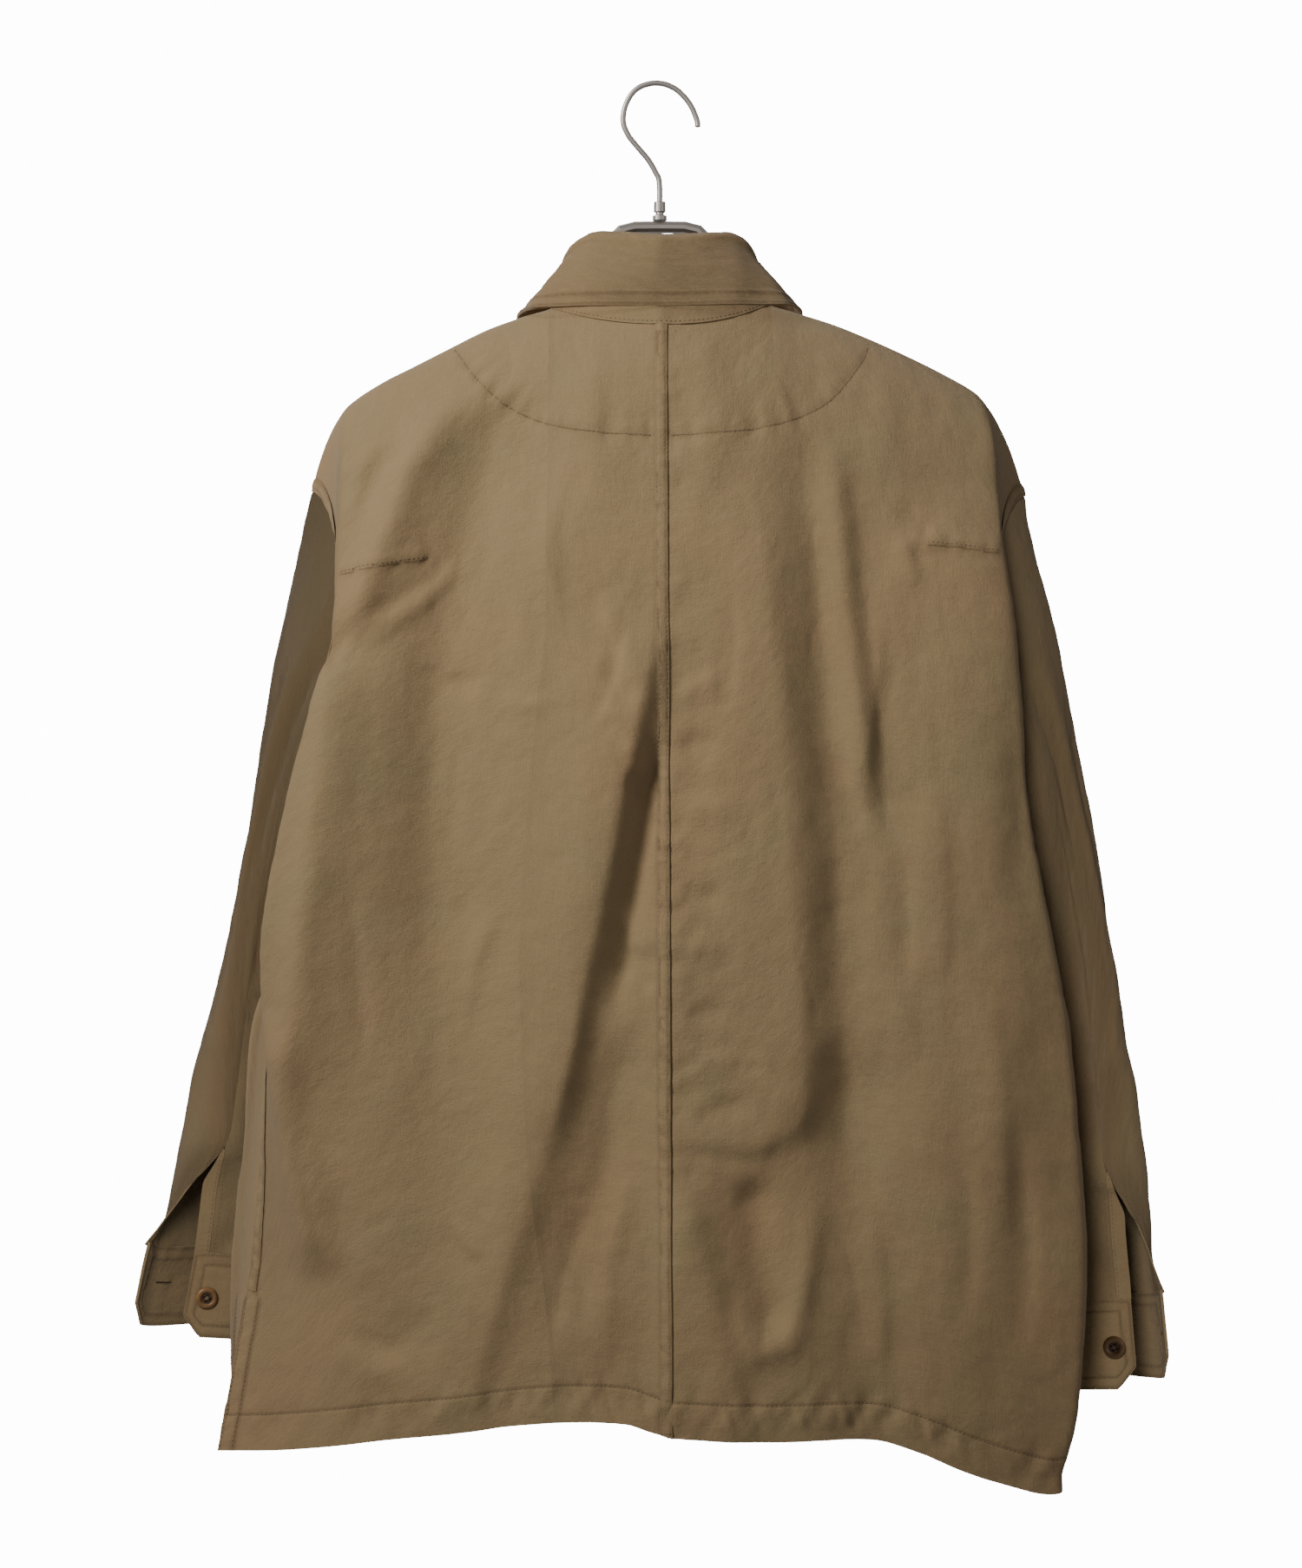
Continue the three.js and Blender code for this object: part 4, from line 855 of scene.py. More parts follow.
def makeSleeve(side):
    turns = np.linspace(0, 1, sleeve["around"] + 1)
    cap, slitStart = 0.04, sleeve["slitShare"]
    alongs = np.concatenate([np.linspace(0, cap, sleeve["capRows"] + 1)[:-1],
                             np.linspace(cap, slitStart, sleeve["armRows"] + 1)[:-1],
                             np.linspace(slitStart, 1, sleeve["slitRows"])])
    points = sleevePoints(side, alongs, turns)
    flat = Grid(points, sides[side])
    first = points[:1] - flat.normals[:1] * 1.1 - unit(points[1:2] - points[:1]) * sleeve["tuckIn"]
    run = unit(points[-1:] - points[-2:-1])
    last = points[-1:] + run * sleeve["tuckIn"]
    flat = Grid(np.concatenate([first, points, last]), sides[side])
    seed = 61 if side == "left" else 81
    around, down = flat.across, flat.down
    height = clothNoise(around * 1.3, down * 1.1, seed) * ease(down / 25) * ease(flat.fromLast["row"] / 25)
    height = height + 1.8 * foldHeight(sleeveCreases, around, down, 0.35) * ease(down / 40)
    height += puckers(around, down, seed + 3, 7) * 0.8
    height += puckers(around * 1.2, flat.fromLast["row"], seed + 7, 9, 0.75)
    height -= 0.8 * ease((5 - down) / 3)
    slit = ease((down - 0.84 * down[-1:]) / 12)
    for edge in (flat.across, flat.fromLast["column"]):
        height += slit * (strip(edge, 2 * sleeve["slitRow"], 0.3) + groove(edge - sleeve["slitRow"]))
    closed = 1 - ease((np.concatenate([[0], alongs, [1]]) - 0.80) / 0.05)[:, None]
    seamAway = np.minimum(flat.across, flat.fromLast["column"])
    height *= 1 - closed * ease((3 - seamAway) / 3)
    return flat.moved(height)


# The way in which the strip, and the cuff's end with it, reach out from the slit's button edge
def reachOut(side):
    return np.array([sides[side] * 0.985, 0.17, 0])


def makeStrip(side, grid):
    rows = grid.points[-sleeve["slitRows"] - 2:-1]
    last, firstEdge = rows[:, -1], rows[:, 0]
    gap = np.linalg.norm(last - firstEdge, axis=-1)
    width = np.minimum(sleeve["stripWidth"], sleeve["stripFill"] * gap)
    t = np.linspace(0, 1, 7)
    points = last[:, None, :] + reachOut(side) * (width[:, None] * t)[..., None]
    keep = width > 1.0
    grid = Grid(points[keep] + np.array([0, 0.35, 0]), sides[side])
    return grid.moved(0 * grid.across)


def makeCuff(side):
    turns = np.linspace(0, 1, cuff["across"] + 1)
    top = sleevePoints(side, [1.0], turns)[0]
    ends = {name: np.array([sides[side] * x, y, -drop]) for name, (x, y, drop) in cuffEnds[side].items()}
    low = ringAt(ends, turns)
    gap = np.linalg.norm(top[-1] - top[0])
    width = min(sleeve["stripWidth"], sleeve["stripFill"] * gap)
    steps = np.linspace(0, 1, cuff["extra"] + 1)[1:, None]
    top = np.concatenate([top, top[-1] + reachOut(side) * width * steps])
    low = np.concatenate([low, low[-1] + np.array([sides[side] * sleeve["stripWidth"], 1.5, 0]) * steps])
    run = pathLength(low)
    fromEnd = np.minimum(run, run[-1] - run)
    reach = 1 - cuff["cutShare"] * np.clip(1 - fromEnd / cuff["corner"], 0, 1)
    t = np.linspace(0, 1, cuff["down"] + 1)[:, None, None]
    flat = Grid(top + (low - top) * t * reach[:, None], sides[side])
    seed = 91 if side == "left" else 95
    border = np.minimum(np.minimum(flat.down, flat.fromLast["row"]),
                        np.minimum(flat.across, flat.fromLast["column"]))
    height = 0.8 * clothNoise(flat.across * 1.5, flat.down * 3, seed) * ease(border / 8)
    height += puckers(flat.across, flat.down, seed + 2, 6) * 0.8
    height += 0.7 * puckers(flat.across + 40, flat.fromLast["row"] - 4, seed + 4, 7)
    height -= 0.5 * ease(1 - border)
    # Painted shade along the cuff's two rows of stitches
    rows = [border - cuff[name] for name in ("edgeRow", "innerRow")]
    return flat.moved(height + sum(map(groove, rows)), 0.9 * sum(bell(row, 0.9) for row in rows))


# the collar: a stand and a leaf that folds over it
# The collar's tone is painted shade that darkens its whole leaf
collar = {
    "standCells": 9, "around": 96, "tone": 0.36, "thickness": 1.9, "edgeRow": 1.6, "innerRow": 8.4,
    "standRow": 2,
    "form": table("turn rise lean leafX leafY leafDrop", [
        [0, 44.5, 5, 0, 38, 146.5], [35, 43.5, 7, 45, 35, 146.5], [50, 37, 9, 66, 28, 146.5],
        [62, 29, 11, 81, 22, 146.5],
        [80, 17, 14, 89.5, 4, 147], [90, 14, 14, 92, -8, 149], [100, 15, 14, 93, -22, 158],
        [125, 24, 11, 88, -44, 192], [150, 29, 9, 74, -54, 220], [165, 30, 9, 60, -60, 238],
        [180, 30, 9, 54, -62, 242],
    ]),
    "roll": [(0, 6), (0.8, 10), (4, 12.3), (7.3, 10), (8.2, 5)],
}
mirrored = dict(collar["form"][1], turn=-collar["form"][1]["turn"], leafX=-collar["form"][1]["leafX"])
collarCurve = {name: follow([mirrored] + collar["form"], "turn", name) for name in mirrored}


def neckPoints(side, turns):
    result = []
    for turn in turns:
        shell = shells[side]["back" if turn <= 90 else "front"]
        angle = math.radians(turn if turn <= 90 else 180 - turn)
        share = np.array(shell.neckShare * math.sin(angle))
        if turn > 180:
            overlap = garment["foldShare"] * garment["frontOverlap"] / tipX[side]
            share = np.array(-overlap * (turn - 180) / 10)
        result.append(shell.place(share, shell.topDrop(share)))
    return np.array(result)


def neckLoop(past):
    turns = np.linspace(0, 180, collar["around"] + 1)
    if past:
        turns = np.concatenate([turns, np.linspace(180, 190, 8)[1:]])
    right, left = neckPoints("right", turns)[::-1], neckPoints("left", turns)[1:]
    sign = np.concatenate([-np.ones(len(turns)), np.ones(len(turns) - 1)])
    return np.concatenate([right, left]), np.concatenate([turns[::-1], turns[1:]]), sign


def outFrom(points):
    flat = points - np.array([garment["centreSeamTopX"], -5, 0])
    return unit(flat * np.array([1, 1, 0]))


def standTop(points, turns):
    top = points - outFrom(points) * collarCurve["lean"](turns)[:, None]
    top[:, 2] += collarCurve["rise"](turns)
    return top


def makeStand():
    points, turns, _ = neckLoop(True)
    top = standTop(points, turns)
    t = np.linspace(0, 1, collar["standCells"] + 1)[:, None, None]
    flat = Grid(mix(points, top, t), -1)
    seam, row = flat.down, flat.down - collar["standRow"]
    height = puckers(flat.across, seam, 131, 6) * 0.8 + groove(row) + 0.5 * ease((1.5 - seam) / 1.5)
    # Painted shade along the stand's row of stitches
    return flat.moved(height, 0.8 * bell(row))


def makeLeaf():
    points, turns, sign = neckLoop(False)
    top, out = standTop(points, turns), outFrom(points)
    roll = [top] + [top + out * o + np.array([0, 0, u]) for o, u in collar["roll"]]
    lower = np.where(sign < 0, float(ridgeDrop["right"](90) - ridgeDrop["left"](90)), 0)
    edge = np.stack([sign * collarCurve["leafX"](turns), collarCurve["leafY"](turns),
                     -(collarCurve["leafDrop"](turns) + lower * ease(turns / 80))], -1)
    fall = []
    for t in np.linspace(0, 1, 6)[1:]:
        fall.append(mix(roll[-1], edge, t) + out * 2 * math.sin(math.pi * t))
    flat = Grid(smoothLine(np.array(roll + fall), 8), -1)
    low = flat.fromLast["row"]
    ends = np.minimum(flat.across, flat.fromLast["column"])
    border = np.minimum(low, ends)
    inFront = np.broadcast_to(np.abs(turns) > 150, border.shape)
    border = np.where(inFront, border, low)
    height = 0.7 * clothNoise(flat.across * 1.2, flat.down * 2.4, 141) * ease(border / 9)
    height += 0.65 * puckers(flat.across, border - 4.5, 143, 5) - 0.5 * ease(1 - border)
    rows = [border - collar[name] for name in ("edgeRow", "innerRow")]
    # Painted shade: the whole leaf a little darker, and darker still along its two rows of stitches
    tone = collar["tone"] + 0.9 * sum(bell(row, 0.8) for row in rows)
    return flat.moved(height + sum(map(groove, rows)), tone)


sleeveGrids = {side: makeSleeve(side) for side in sides}
stripGrids = {side: makeStrip(side, sleeveGrids[side]) for side in sides}
cuffGrids = {side: makeCuff(side) for side in sides}
standGrid, leafGrid = makeStand(), makeLeaf()
print("sleeves, cuffs and collar shaped")


# Node maths: a socket with the usual operators
class Socket:
    def __init__(self, tree, output):
        self.tree, self.output = tree, output

    def math(self, operation, other=None, swapped=False):
        node = self.tree.nodes.new("ShaderNodeMath")
        node.operation = operation
        for i, value in enumerate([other, self] if swapped else [self, other]):
            if value is not None:
                connect(self.tree, value, node.inputs[i])
        return Socket(self.tree, node.outputs[0])

    def __add__(self, other):
        return self.math("ADD", other)

    def __sub__(self, other):
        return self.math("SUBTRACT", other)

    def __rsub__(self, other):
        return self.math("SUBTRACT", other, True)

    def __mul__(self, other):
        return self.math("MULTIPLY", other)

    def __truediv__(self, other):
        return self.math("DIVIDE", other)

    def __rtruediv__(self, other):
        return self.math("DIVIDE", other, True)

    __radd__, __rmul__ = __add__, __mul__


def connect(tree, value, target):
    if isinstance(value, Socket):
        tree.links.new(value.output, target)
    else:
        target.default_value = value


class Look:
    def __init__(self, name, owner=None):
        self.material = owner or bpy.data.materials.new(name)
        self.material.use_nodes = True
        self.tree = self.material.node_tree
        self.tree.nodes.clear()

    # A node of a kind, its settings first and then the values or links of its sockets
    def node(self, kind, settings=None, values=None, output=0):
        node = self.tree.nodes.new("ShaderNode" + kind)
        for name, value in (settings or {}).items():
            setattr(node, name, value)
        for name, value in (values or {}).items():
            target = next(item for item in node.inputs if item.enabled and item.name == name)
            connect(self.tree, value, target)
        outputs = [item for item in node.outputs if item.enabled]
        if isinstance(output, str):
            return Socket(self.tree, next(item for item in outputs if item.name == output))
        return Socket(self.tree, outputs[output]) if outputs else node

    def blend(self, a, b, factor, way="MIX"):
        return self.node("Mix", {"data_type": "RGBA", "blend_type": way},
                         {"Factor": factor, "A": a, "B": b})

    def noise(self, vector, scale, detail=2.0, roughness=0.5):
        return self.node("TexNoise", {}, {"Vector": vector, "Scale": scale, "Detail": detail,
                                          "Roughness": roughness})

    def stretched(self, vector, scales):
        return self.node("Mapping", {}, {"Vector": vector, "Scale": scales})

    def bump(self, height, distance, strength=1.0):
        return self.node("Bump", {}, {"Height": height, "Distance": distance, "Strength": strength})

    def finish(self, values):
        shader = self.node("BsdfPrincipled", {}, values)
        self.node("OutputMaterial", {}, {"Surface": shader})
        return self.material


# The seam colour is painted shade, mixed into the cloth along its seams and rows of stitches
clothLook = {
    "colour": (0.300, 0.208, 0.108, 1), "greener": (0.262, 0.208, 0.104, 1),
    "redder": (0.322, 0.199, 0.104, 1), "seam": (0.115, 0.072, 0.034, 1), "seamShadeShare": 0.62,
    "threadPitch": 0.00062, "weaveDepth": 0.00016, "crumple": 9.0, "roughness": 0.86, "sheen": 0.12,
    "slubs": (1100, 70), "grain": 900.0, "patches": 16.0, "broadPatches": 5.0, "seamShadeBreaks": 420.0,
    "crumples": 75.0,
}


def clothMaterial(name):
    look = Look(name)
    c = clothLook
    uv = look.node("UVMap")
    split = [look.node("SeparateXYZ", {}, {"Vector": uv}, name) for name in ("X", "Y")]
    waves = [(axis * (2 * math.pi / c["threadPitch"])).math("SINE") for axis in split]
    weave = waves[0] * waves[1]
    fine, coarse = c["slubs"]
    lengthwise, crosswise = [look.noise(look.stretched(uv, scales), 1.0, 3.0)
                             for scales in ((fine, coarse, 1), (coarse, fine, 1))]
    slubs = (lengthwise + crosswise) * 0.5
    grain = look.noise(uv, c["grain"], 2.0)
    patches = look.noise(uv, c["patches"], 4.0)
    broad = look.noise(uv, c["broadPatches"], 2.0)
    colour = look.blend(c["colour"], c["greener"], (patches - 0.45) * 2.2)
    colour = look.blend(colour, c["redder"], (broad - 0.48) * 2.4)
    # Painted shade: the colour darkens towards the seam colour where the seam attribute is high, broken up
    # by noise
    seam = look.node("Attribute", {"attribute_name": "seam"}, {}, "Fac")
    breaks = 0.55 + look.noise(uv, c["seamShadeBreaks"], 1.0) * 0.9
    colour = look.blend(colour, c["seam"], seam * breaks * c["seamShadeShare"])
    tone = 0.78 + slubs * 0.24 + grain * 0.16 + patches * 0.06
    shaded = look.node("VectorMath", {"operation": "SCALE"}, {"Vector": colour, "Scale": tone})
    crumple = look.noise(uv, c["crumples"], 3.0, 0.6)
    height = weave * 0.5 + slubs * 2.4 + grain * 1.6 + crumple * c["crumple"]
    return look.finish({
        "Base Color": shaded, "Roughness": c["roughness"], "Sheen Weight": c["sheen"],
        "Sheen Roughness": 0.45, "Specular IOR Level": 0.25, "Normal": look.bump(height, c["weaveDepth"]),
    })


threadLook = {"colour": (0.150, 0.100, 0.052, 1), "pale": (0.25, 0.18, 0.10, 1)}


def threadMaterial():
    look = Look("thread")
    place = look.node("TexCoord", {}, {}, "Object")
    tone = look.blend(threadLook["colour"], threadLook["pale"], look.noise(place, 120.0, 1.0))
    return look.finish({"Base Color": tone, "Roughness": 0.7, "Sheen Weight": 0.1})


hornLook = {"dark": (0.030, 0.013, 0.006, 1), "warm": (0.270, 0.140, 0.045, 1),
            "amber": (0.180, 0.085, 0.028, 1), "roughness": 0.36}


def hornMaterial():
    look = Look("horn")
    place = look.node("TexCoord", {}, {}, "Object")
    streaks = look.noise(look.stretched(place, (90, 90, 260)), 1.0, 4.0, 0.6)
    inner = look.node("Attribute", {"attribute_name": "seam"}, {}, "Fac")
    tone = look.blend(hornLook["amber"], hornLook["warm"], (streaks - 0.38) * 2.6)
    tone = look.blend(tone, hornLook["dark"], inner * (0.6 + streaks * 0.4))
    return look.finish({"Base Color": tone, "Roughness": hornLook["roughness"] + streaks * 0.15,
                        "Coat Weight": 0.12, "Coat Roughness": 0.25})


metalLook = {"colour": (0.36, 0.325, 0.295, 1), "roughness": 0.36}


def metalMaterial():
    look = Look("brushed metal")
    place = look.node("TexCoord", {}, {}, "Object")
    marks = look.noise(look.stretched(place, (300, 300, 2500)), 1.0, 2.0)
    smudge = look.noise(place, 60.0, 2.0)
    return look.finish({"Base Color": metalLook["colour"], "Metallic": 1.0,
                        "Roughness": metalLook["roughness"] + marks * 0.1 + smudge * 0.12,
                        "Normal": look.bump(marks, 0.000008)})


materials = {"cloth": clothMaterial("khaki cotton"), "thread": threadMaterial(),
             "horn": hornMaterial(), "metal": metalMaterial()}
print("materials made")


# Objects from points and faces, riding on the part's one body
def makeObject(name, points, faces, material, sharp=None, uvs=None, tone=None):
    mesh = bpy.data.meshes.new(name)
    mesh.from_pydata(points.tolist(), [], faces.tolist() if hasattr(faces, "tolist") else faces)
    mesh.polygons.foreach_set("use_smooth", [True] * len(mesh.polygons))
    if uvs is not None:
        corners = np.empty(len(mesh.loops), int)
        mesh.loops.foreach_get("vertex_index", corners)
        mesh.uv_layers.new(name="cloth").data.foreach_set("uv", uvs[corners].ravel())
    # The seam attribute darkens the colour: painted shade on the cloth, a dark centre on a button
    if tone is not None:
        mesh.attributes.new("seam", "FLOAT", "POINT").data.foreach_set("value", tone)
    if sharp:
        mesh.set_sharp_from_angle(angle=math.radians(sharp))
    mesh.materials.append(materials[material])
    mesh.update()
    thing = bpy.data.objects.new(name, mesh)
    bpy.context.collection.objects.link(thing)
    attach(thing, "root")
    return thing


# The faces between the rows and columns of a grid of point numbers, which may close on itself
def quads(index, closed=False):
    if closed:
        index = np.concatenate([index, index[:, :1]], 1)
    corners = [index[:-1, :-1], index[1:, :-1], index[1:, 1:], index[:-1, 1:]]
    return np.stack(corners, -1).reshape(-1, 4)


# A closed shell on both sides of a grid, with a rim round its border
def makeShell(name, grid, thickness):
    rows, columns = grid.points.shape[:2]
    count = rows * columns
    half = grid.normals * thickness / 2
    points = np.concatenate([(grid.points + half).reshape(-1, 3), (grid.points - half).reshape(-1, 3)])
    index = np.arange(count).reshape(rows, columns)
    outer = quads(index)[:, [0, 3, 2, 1]]
    border = np.concatenate([index[0], index[1:, -1], index[-1, -2::-1], index[-2:0:-1, 0]])
    after = np.roll(border, -1)
    rim = np.stack([after, border, border + count, after + count], -1)
    faces = np.concatenate([outer, outer[:, ::-1] + count, rim])
    if grid.facing < 0:
        faces = faces[:, ::-1]
    uv = np.stack([grid.across, grid.down], -1).reshape(-1, 2) * mm
    tone = np.clip(grid.tone, 0, 1).ravel()
    return makeObject(name, points * mm, faces, "cloth", 50, np.concatenate([uv, uv]),
                      np.concatenate([tone, tone]))


# The cloth's pieces, each a closed shell of its thickness, in place of its imported solid
thicknesses = {"cuff": cuff["thickness"], "collar": collar["thickness"],
               "slit": sleeve["stripThickness"]}
grids = {"collar_leaf": leafGrid, "collar_stand": standGrid}
for side in sides:
    for face in ("back", "front"):
        grids[face + "_" + side] = panels[side][face].grid
    grids["sleeve_" + side], grids["cuff_" + side] = sleeveGrids[side], cuffGrids[side]
    grids["slit_strip_" + side] = stripGrids[side]
for node, grid in grids.items():
    thickness = thicknesses.get(node.split("_")[0], garment["clothThickness"])
    thing = makeShell("cloth_" + node, grid, thickness)
    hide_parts(node)
    # The stand below the leaf shows lit, as it does in soft light
    if node == "collar_leaf":
        thing.visible_shadow = False
print("cloth made")


# Rows of stitches: each stitch a spindle lying along its row, a little sunk
class Stitching:
    def __init__(self):
        self.starts, self.ends, self.normals = [], [], []

    # Thickness is that of the piece the row lies on
    def row(self, line, pitch=None, length=None, thickness=None):
        path, normals = line
        if thickness:
            path = path + normals * (thickness - garment["clothThickness"]) / 2
        if len(path) < 2:
            return
        pitch = pitch or sewing["stitchPitch"]
        length = length or sewing["stitchLength"]
        run = pathLength(path)
        count = int(run[-1] // pitch)
        starts = np.arange(count) * pitch + (run[-1] - count * pitch) / 2

        def at(s, values):
            return np.stack([np.interp(s, run, values[:, k]) for k in range(3)], -1)

        self.starts.append(at(starts, path))
        self.ends.append(at(starts + length, path))
        self.normals.append(unit(at(starts + length / 2, normals)))

    # One long stitch over a whole path
    def single(self, path, normal):
        length = pathLength(path)[-1]
        self.row((path, np.array([normal] * len(path))), length * 0.999, length)

    def build(self, name, radius):
        starts, ends = np.concatenate(self.starts), np.concatenate(self.ends)
        normals = np.concatenate(self.normals)
        along = unit(ends - starts)
        across = unit(np.cross(along, normals))
        lift = garment["clothThickness"] / 2 + radius * 0.35
        base, tip = starts + normals * (lift - 1.3 * radius), ends + normals * (lift - 1.3 * radius)
        points, around = [base], sewing["threadSides"]
        for share in (0.25, 0.75):
            middle = mix(starts, ends, share) + normals * lift
            for k in range(around):
                angle = 2 * math.pi * k / around
                points.append(middle + radius * (math.cos(angle) * across + math.sin(angle) * normals))
        points.append(tip)
        count = len(starts)
        grid = np.stack(points, 1)
        faces = []
        for k in range(around):
            low, lowAfter = 1 + k, 1 + (k + 1) % around
            high, highAfter = low + around, lowAfter + around
            faces += [(0, lowAfter, low), (low, lowAfter, highAfter), (low, highAfter, high),
                      (len(points) - 1, high, highAfter)]
        faces = (np.array(faces)[None] + len(points) * np.arange(count)[:, None, None]).reshape(-1, 3)
        print(name, count, "stitches")
        return makeObject(name, grid.reshape(-1, 3) * mm, faces, "thread")


# The stretch of a line between two drops
def betweenDrops(line, low, high):
    path, normals = line
    keep = (-path[:, 2] >= low) & (-path[:, 2] <= high)
    return path[keep], normals[keep]


def halfOf(line, sign):
    points = smoothLine(line, 12)
    inner = float(centreX(230)) + (9 if sign > 0 else -1)
    return points[(points[:, 0] - inner) * sign > 0]


# Narrow bands of cloth along a seam, finer than the panel's grid: thin ribbons of painted shade along seam
# lines, and puckered laps with painted shade along their rows and in their dips
class Bands:
    def __init__(self):
        self.points, self.places, self.tones, self.faces, self.count = [], [], [], [], 0

    def add(self, line, width, cells, form, tone):
        path, normals = line
        run = pathLength(path)
        steps = np.arange(0, run[-1], 1.1)
        path, normals = [np.stack([np.interp(steps, run, values[:, k]) for k in range(3)], -1)
                         for values in (path, normals)]
        side = unit(np.cross(np.gradient(path, axis=0), normals))
        across, along = np.linspace(-0.5, 0.5, cells + 1)[None] * width, steps[:, None]
        level = 0 * (along + across)
        height = garment["clothThickness"] / 2 + form(along, across) + level
        grid = path[:, None] + side[:, None] * across[..., None] + normals[:, None] * height[..., None]
        index = self.count + np.arange(height.size).reshape(height.shape)
        self.points.append(grid.reshape(-1, 3))
        self.places.append(np.stack([across + level, along + level], -1).reshape(-1, 2))
        self.tones.append((tone(along, across) + level).ravel())
        self.faces.append(quads(index))
        self.count += height.size

    def build(self, name):
        return makeObject(name, np.concatenate(self.points) * mm, np.concatenate(self.faces), "cloth", None,
                          np.concatenate(self.places) * mm, np.concatenate(self.tones))


lap = {"width": 7.4, "cells": 12, "wave": 0.42, "pitch": 5.4, "rows": (-2.75, 2.95)}


def lapForm(along, across):
    waves = ripple(along + 0.7 * across, lap["pitch"], 17) + 0.6 * ripple(along, 12, 18)
    rows = sum(bell(across - row, 0.8) for row in lap["rows"])
    edge = 0.45 * (1 - ease((lap["width"] / 2 - np.abs(across)) / 0.9))
    return 0.16 + lap["wave"] * waves * np.exp(-((across / 2.4) ** 4)) - 0.3 * rows - edge


# Painted shade on a lap: darker along its two rows of stitches and in the dips of its puckers
def lapTone(along, across):
    waves = ripple(along + 0.7 * across, lap["pitch"], 17)
    return 0.5 * sum(bell(across - row, 0.7) for row in lap["rows"]) + 0.35 * ease(-waves * 1.4)


# A thin ribbon laid just above the cloth along a seam line, darkest along its middle: painted shade
def pressedForm(along, across):
    return 0.12 - 0.1 * np.abs(across)


def pressedTone(along, across):
    return 0.95 - 0.3 * np.abs(across)


bands = Bands()


def addLap(line):
    bands.add(line, lap["width"], lap["cells"], lapForm, lapTone)


# Lays a ribbon of painted shade along a seam line
def addPressed(line, width):
    bands.add(line, width, 2, pressedForm, pressedTone)


seams, sleeveSeams = Stitching(), Stitching()
vents, underarm = garment["ventDrop"], garment["underarmDrop"]
for side, sign in sides.items():
    back, front = panels[side]["back"], panels[side]["front"]
    for distance in (sewing["edgeRow"], sewing["innerRow"]):
        if side == "left":
            seams.row(back.grid.lineFrom("first column", distance, (3, 1)))
        seams.row(betweenDrops(back.grid.lineFrom("last column", distance, (2, 1)), 0, vents))
        seams.row(betweenDrops(front.grid.lineFrom("last column", distance, (2, 1)), 0, underarm))
    for distance in (sewing["edgeRow"], sewing["ventRow"]):
        for panel in (back, front):
            seams.row(betweenDrops(panel.grid.lineFrom("last column", distance, (2, 1)), vents, math.inf))
    for panel in (back, front):
        seams.row(panel.grid.lineFrom("last row", sewing["hemRow"], (1, 1)))
    seams.row(back.onPanel(halfOf(yokeLine, sign)))
    # Ribbons of painted shade along the yoke's seam and along the dart
    addPressed(back.onPanel(halfOf(yokeLine, sign)), 1.3)
    seams.row(back.onPanel(smoothLine(darts[side], 8) + np.array([0, -1.6])))
    addPressed(back.onPanel(smoothLine(darts[side], 8)), 1.5)
    middle = (sewing["edgeRow"] + sewing["innerRow"]) / 2
    addLap(betweenDrops(back.grid.lineFrom("last column", middle, (4, 1)), 0, vents))
    if side == "left":
        addLap(back.grid.lineFrom("first column", middle, (4, 2)))
    for distance in (cuff["edgeRow"], cuff["innerRow"]):
        for edge in ("last row", "first column", "last column"):
            sleeveSeams.row(cuffGrids[side].lineFrom(edge, distance, (distance, distance)),
                            thickness=cuff["thickness"])
        seams.row(leafGrid.lineFrom(("first" if side == "left" else "last") + " column", distance,
                                    (14, distance)), thickness=collar["thickness"])
    sleeveSeams.row(cuffGrids[side].lineFrom("first row", cuff["edgeRow"], (2, 2)),
                    thickness=cuff["thickness"])
    for edge in ("first column", "last column"):
        line = sleeveGrids[side].lineFrom(edge, sleeve["slitRow"])
        sleeveSeams.row([part[-sleeve["slitRows"]:] for part in line])
    sleeveSeams.row(stripGrids[side].lineFrom("first column", sleeve["stripRow"]),
                    thickness=sleeve["stripThickness"])
for distance in (collar["edgeRow"], collar["innerRow"]):
    seams.row(leafGrid.lineFrom("last row", distance, (distance, distance)), thickness=collar["thickness"])
seams.row(standGrid.lineFrom("first row", collar["standRow"], (1, 1)), thickness=collar["thickness"])
placket = panels["left"]["front"].grid
for distance in sewing["placketRows"]:
    seams.row(placket.lineFrom("first column", distance, (6, 2)))


# The row and column of a grid nearest to the middle of a packed button, or a little off from it
def buttonPlace(name, grid, shift=(0, 0, 0)):
    node = bpy.data.objects[name]
    corners = np.array([node.matrix_world @ v.co for v in node.data.vertices]) / mm
    away = np.linalg.norm(grid.points - corners.mean(0) - np.array(shift), axis=-1)
    return np.unravel_index(np.argmin(away), away.shape)


# The buttonhole in the free end of a cuff, worked with close stitches, set off from the button
def makeButtonhole(side, shift, cells):
    grid = cuffGrids[side]
    row, column = buttonPlace("cuff_button_" + side, grid, shift)
    columns = np.clip(column + np.linspace(-cells, cells, 15), 0, grid.points.shape[1] - 1)
    path, normals = grid.at(row + 0 * columns, columns)
    normals = normals * np.sign(normals[:, 1:2])
    across = unit(np.cross(np.gradient(path, axis=0), normals))
    for lean in (-0.8, 0.8):
        sleeveSeams.row((path + across * lean, normals), 1.1, 1.0, cuff["thickness"])
    # A ribbon of painted shade along the buttonhole
    lift = normals * (cuff["thickness"] - garment["clothThickness"]) / 2
    addPressed((path + lift, normals), 0.9)


makeButtonhole("left", (21, -26, 3), 4)
makeButtonhole("right", (-18, -22, 2), 3)
seams.build("body_stitching", sewing["threadRadius"])
sleeveSeams.build("sleeve_stitching", sewing["threadRadius"])
bands.build("pressed_seams")
print("stitched")


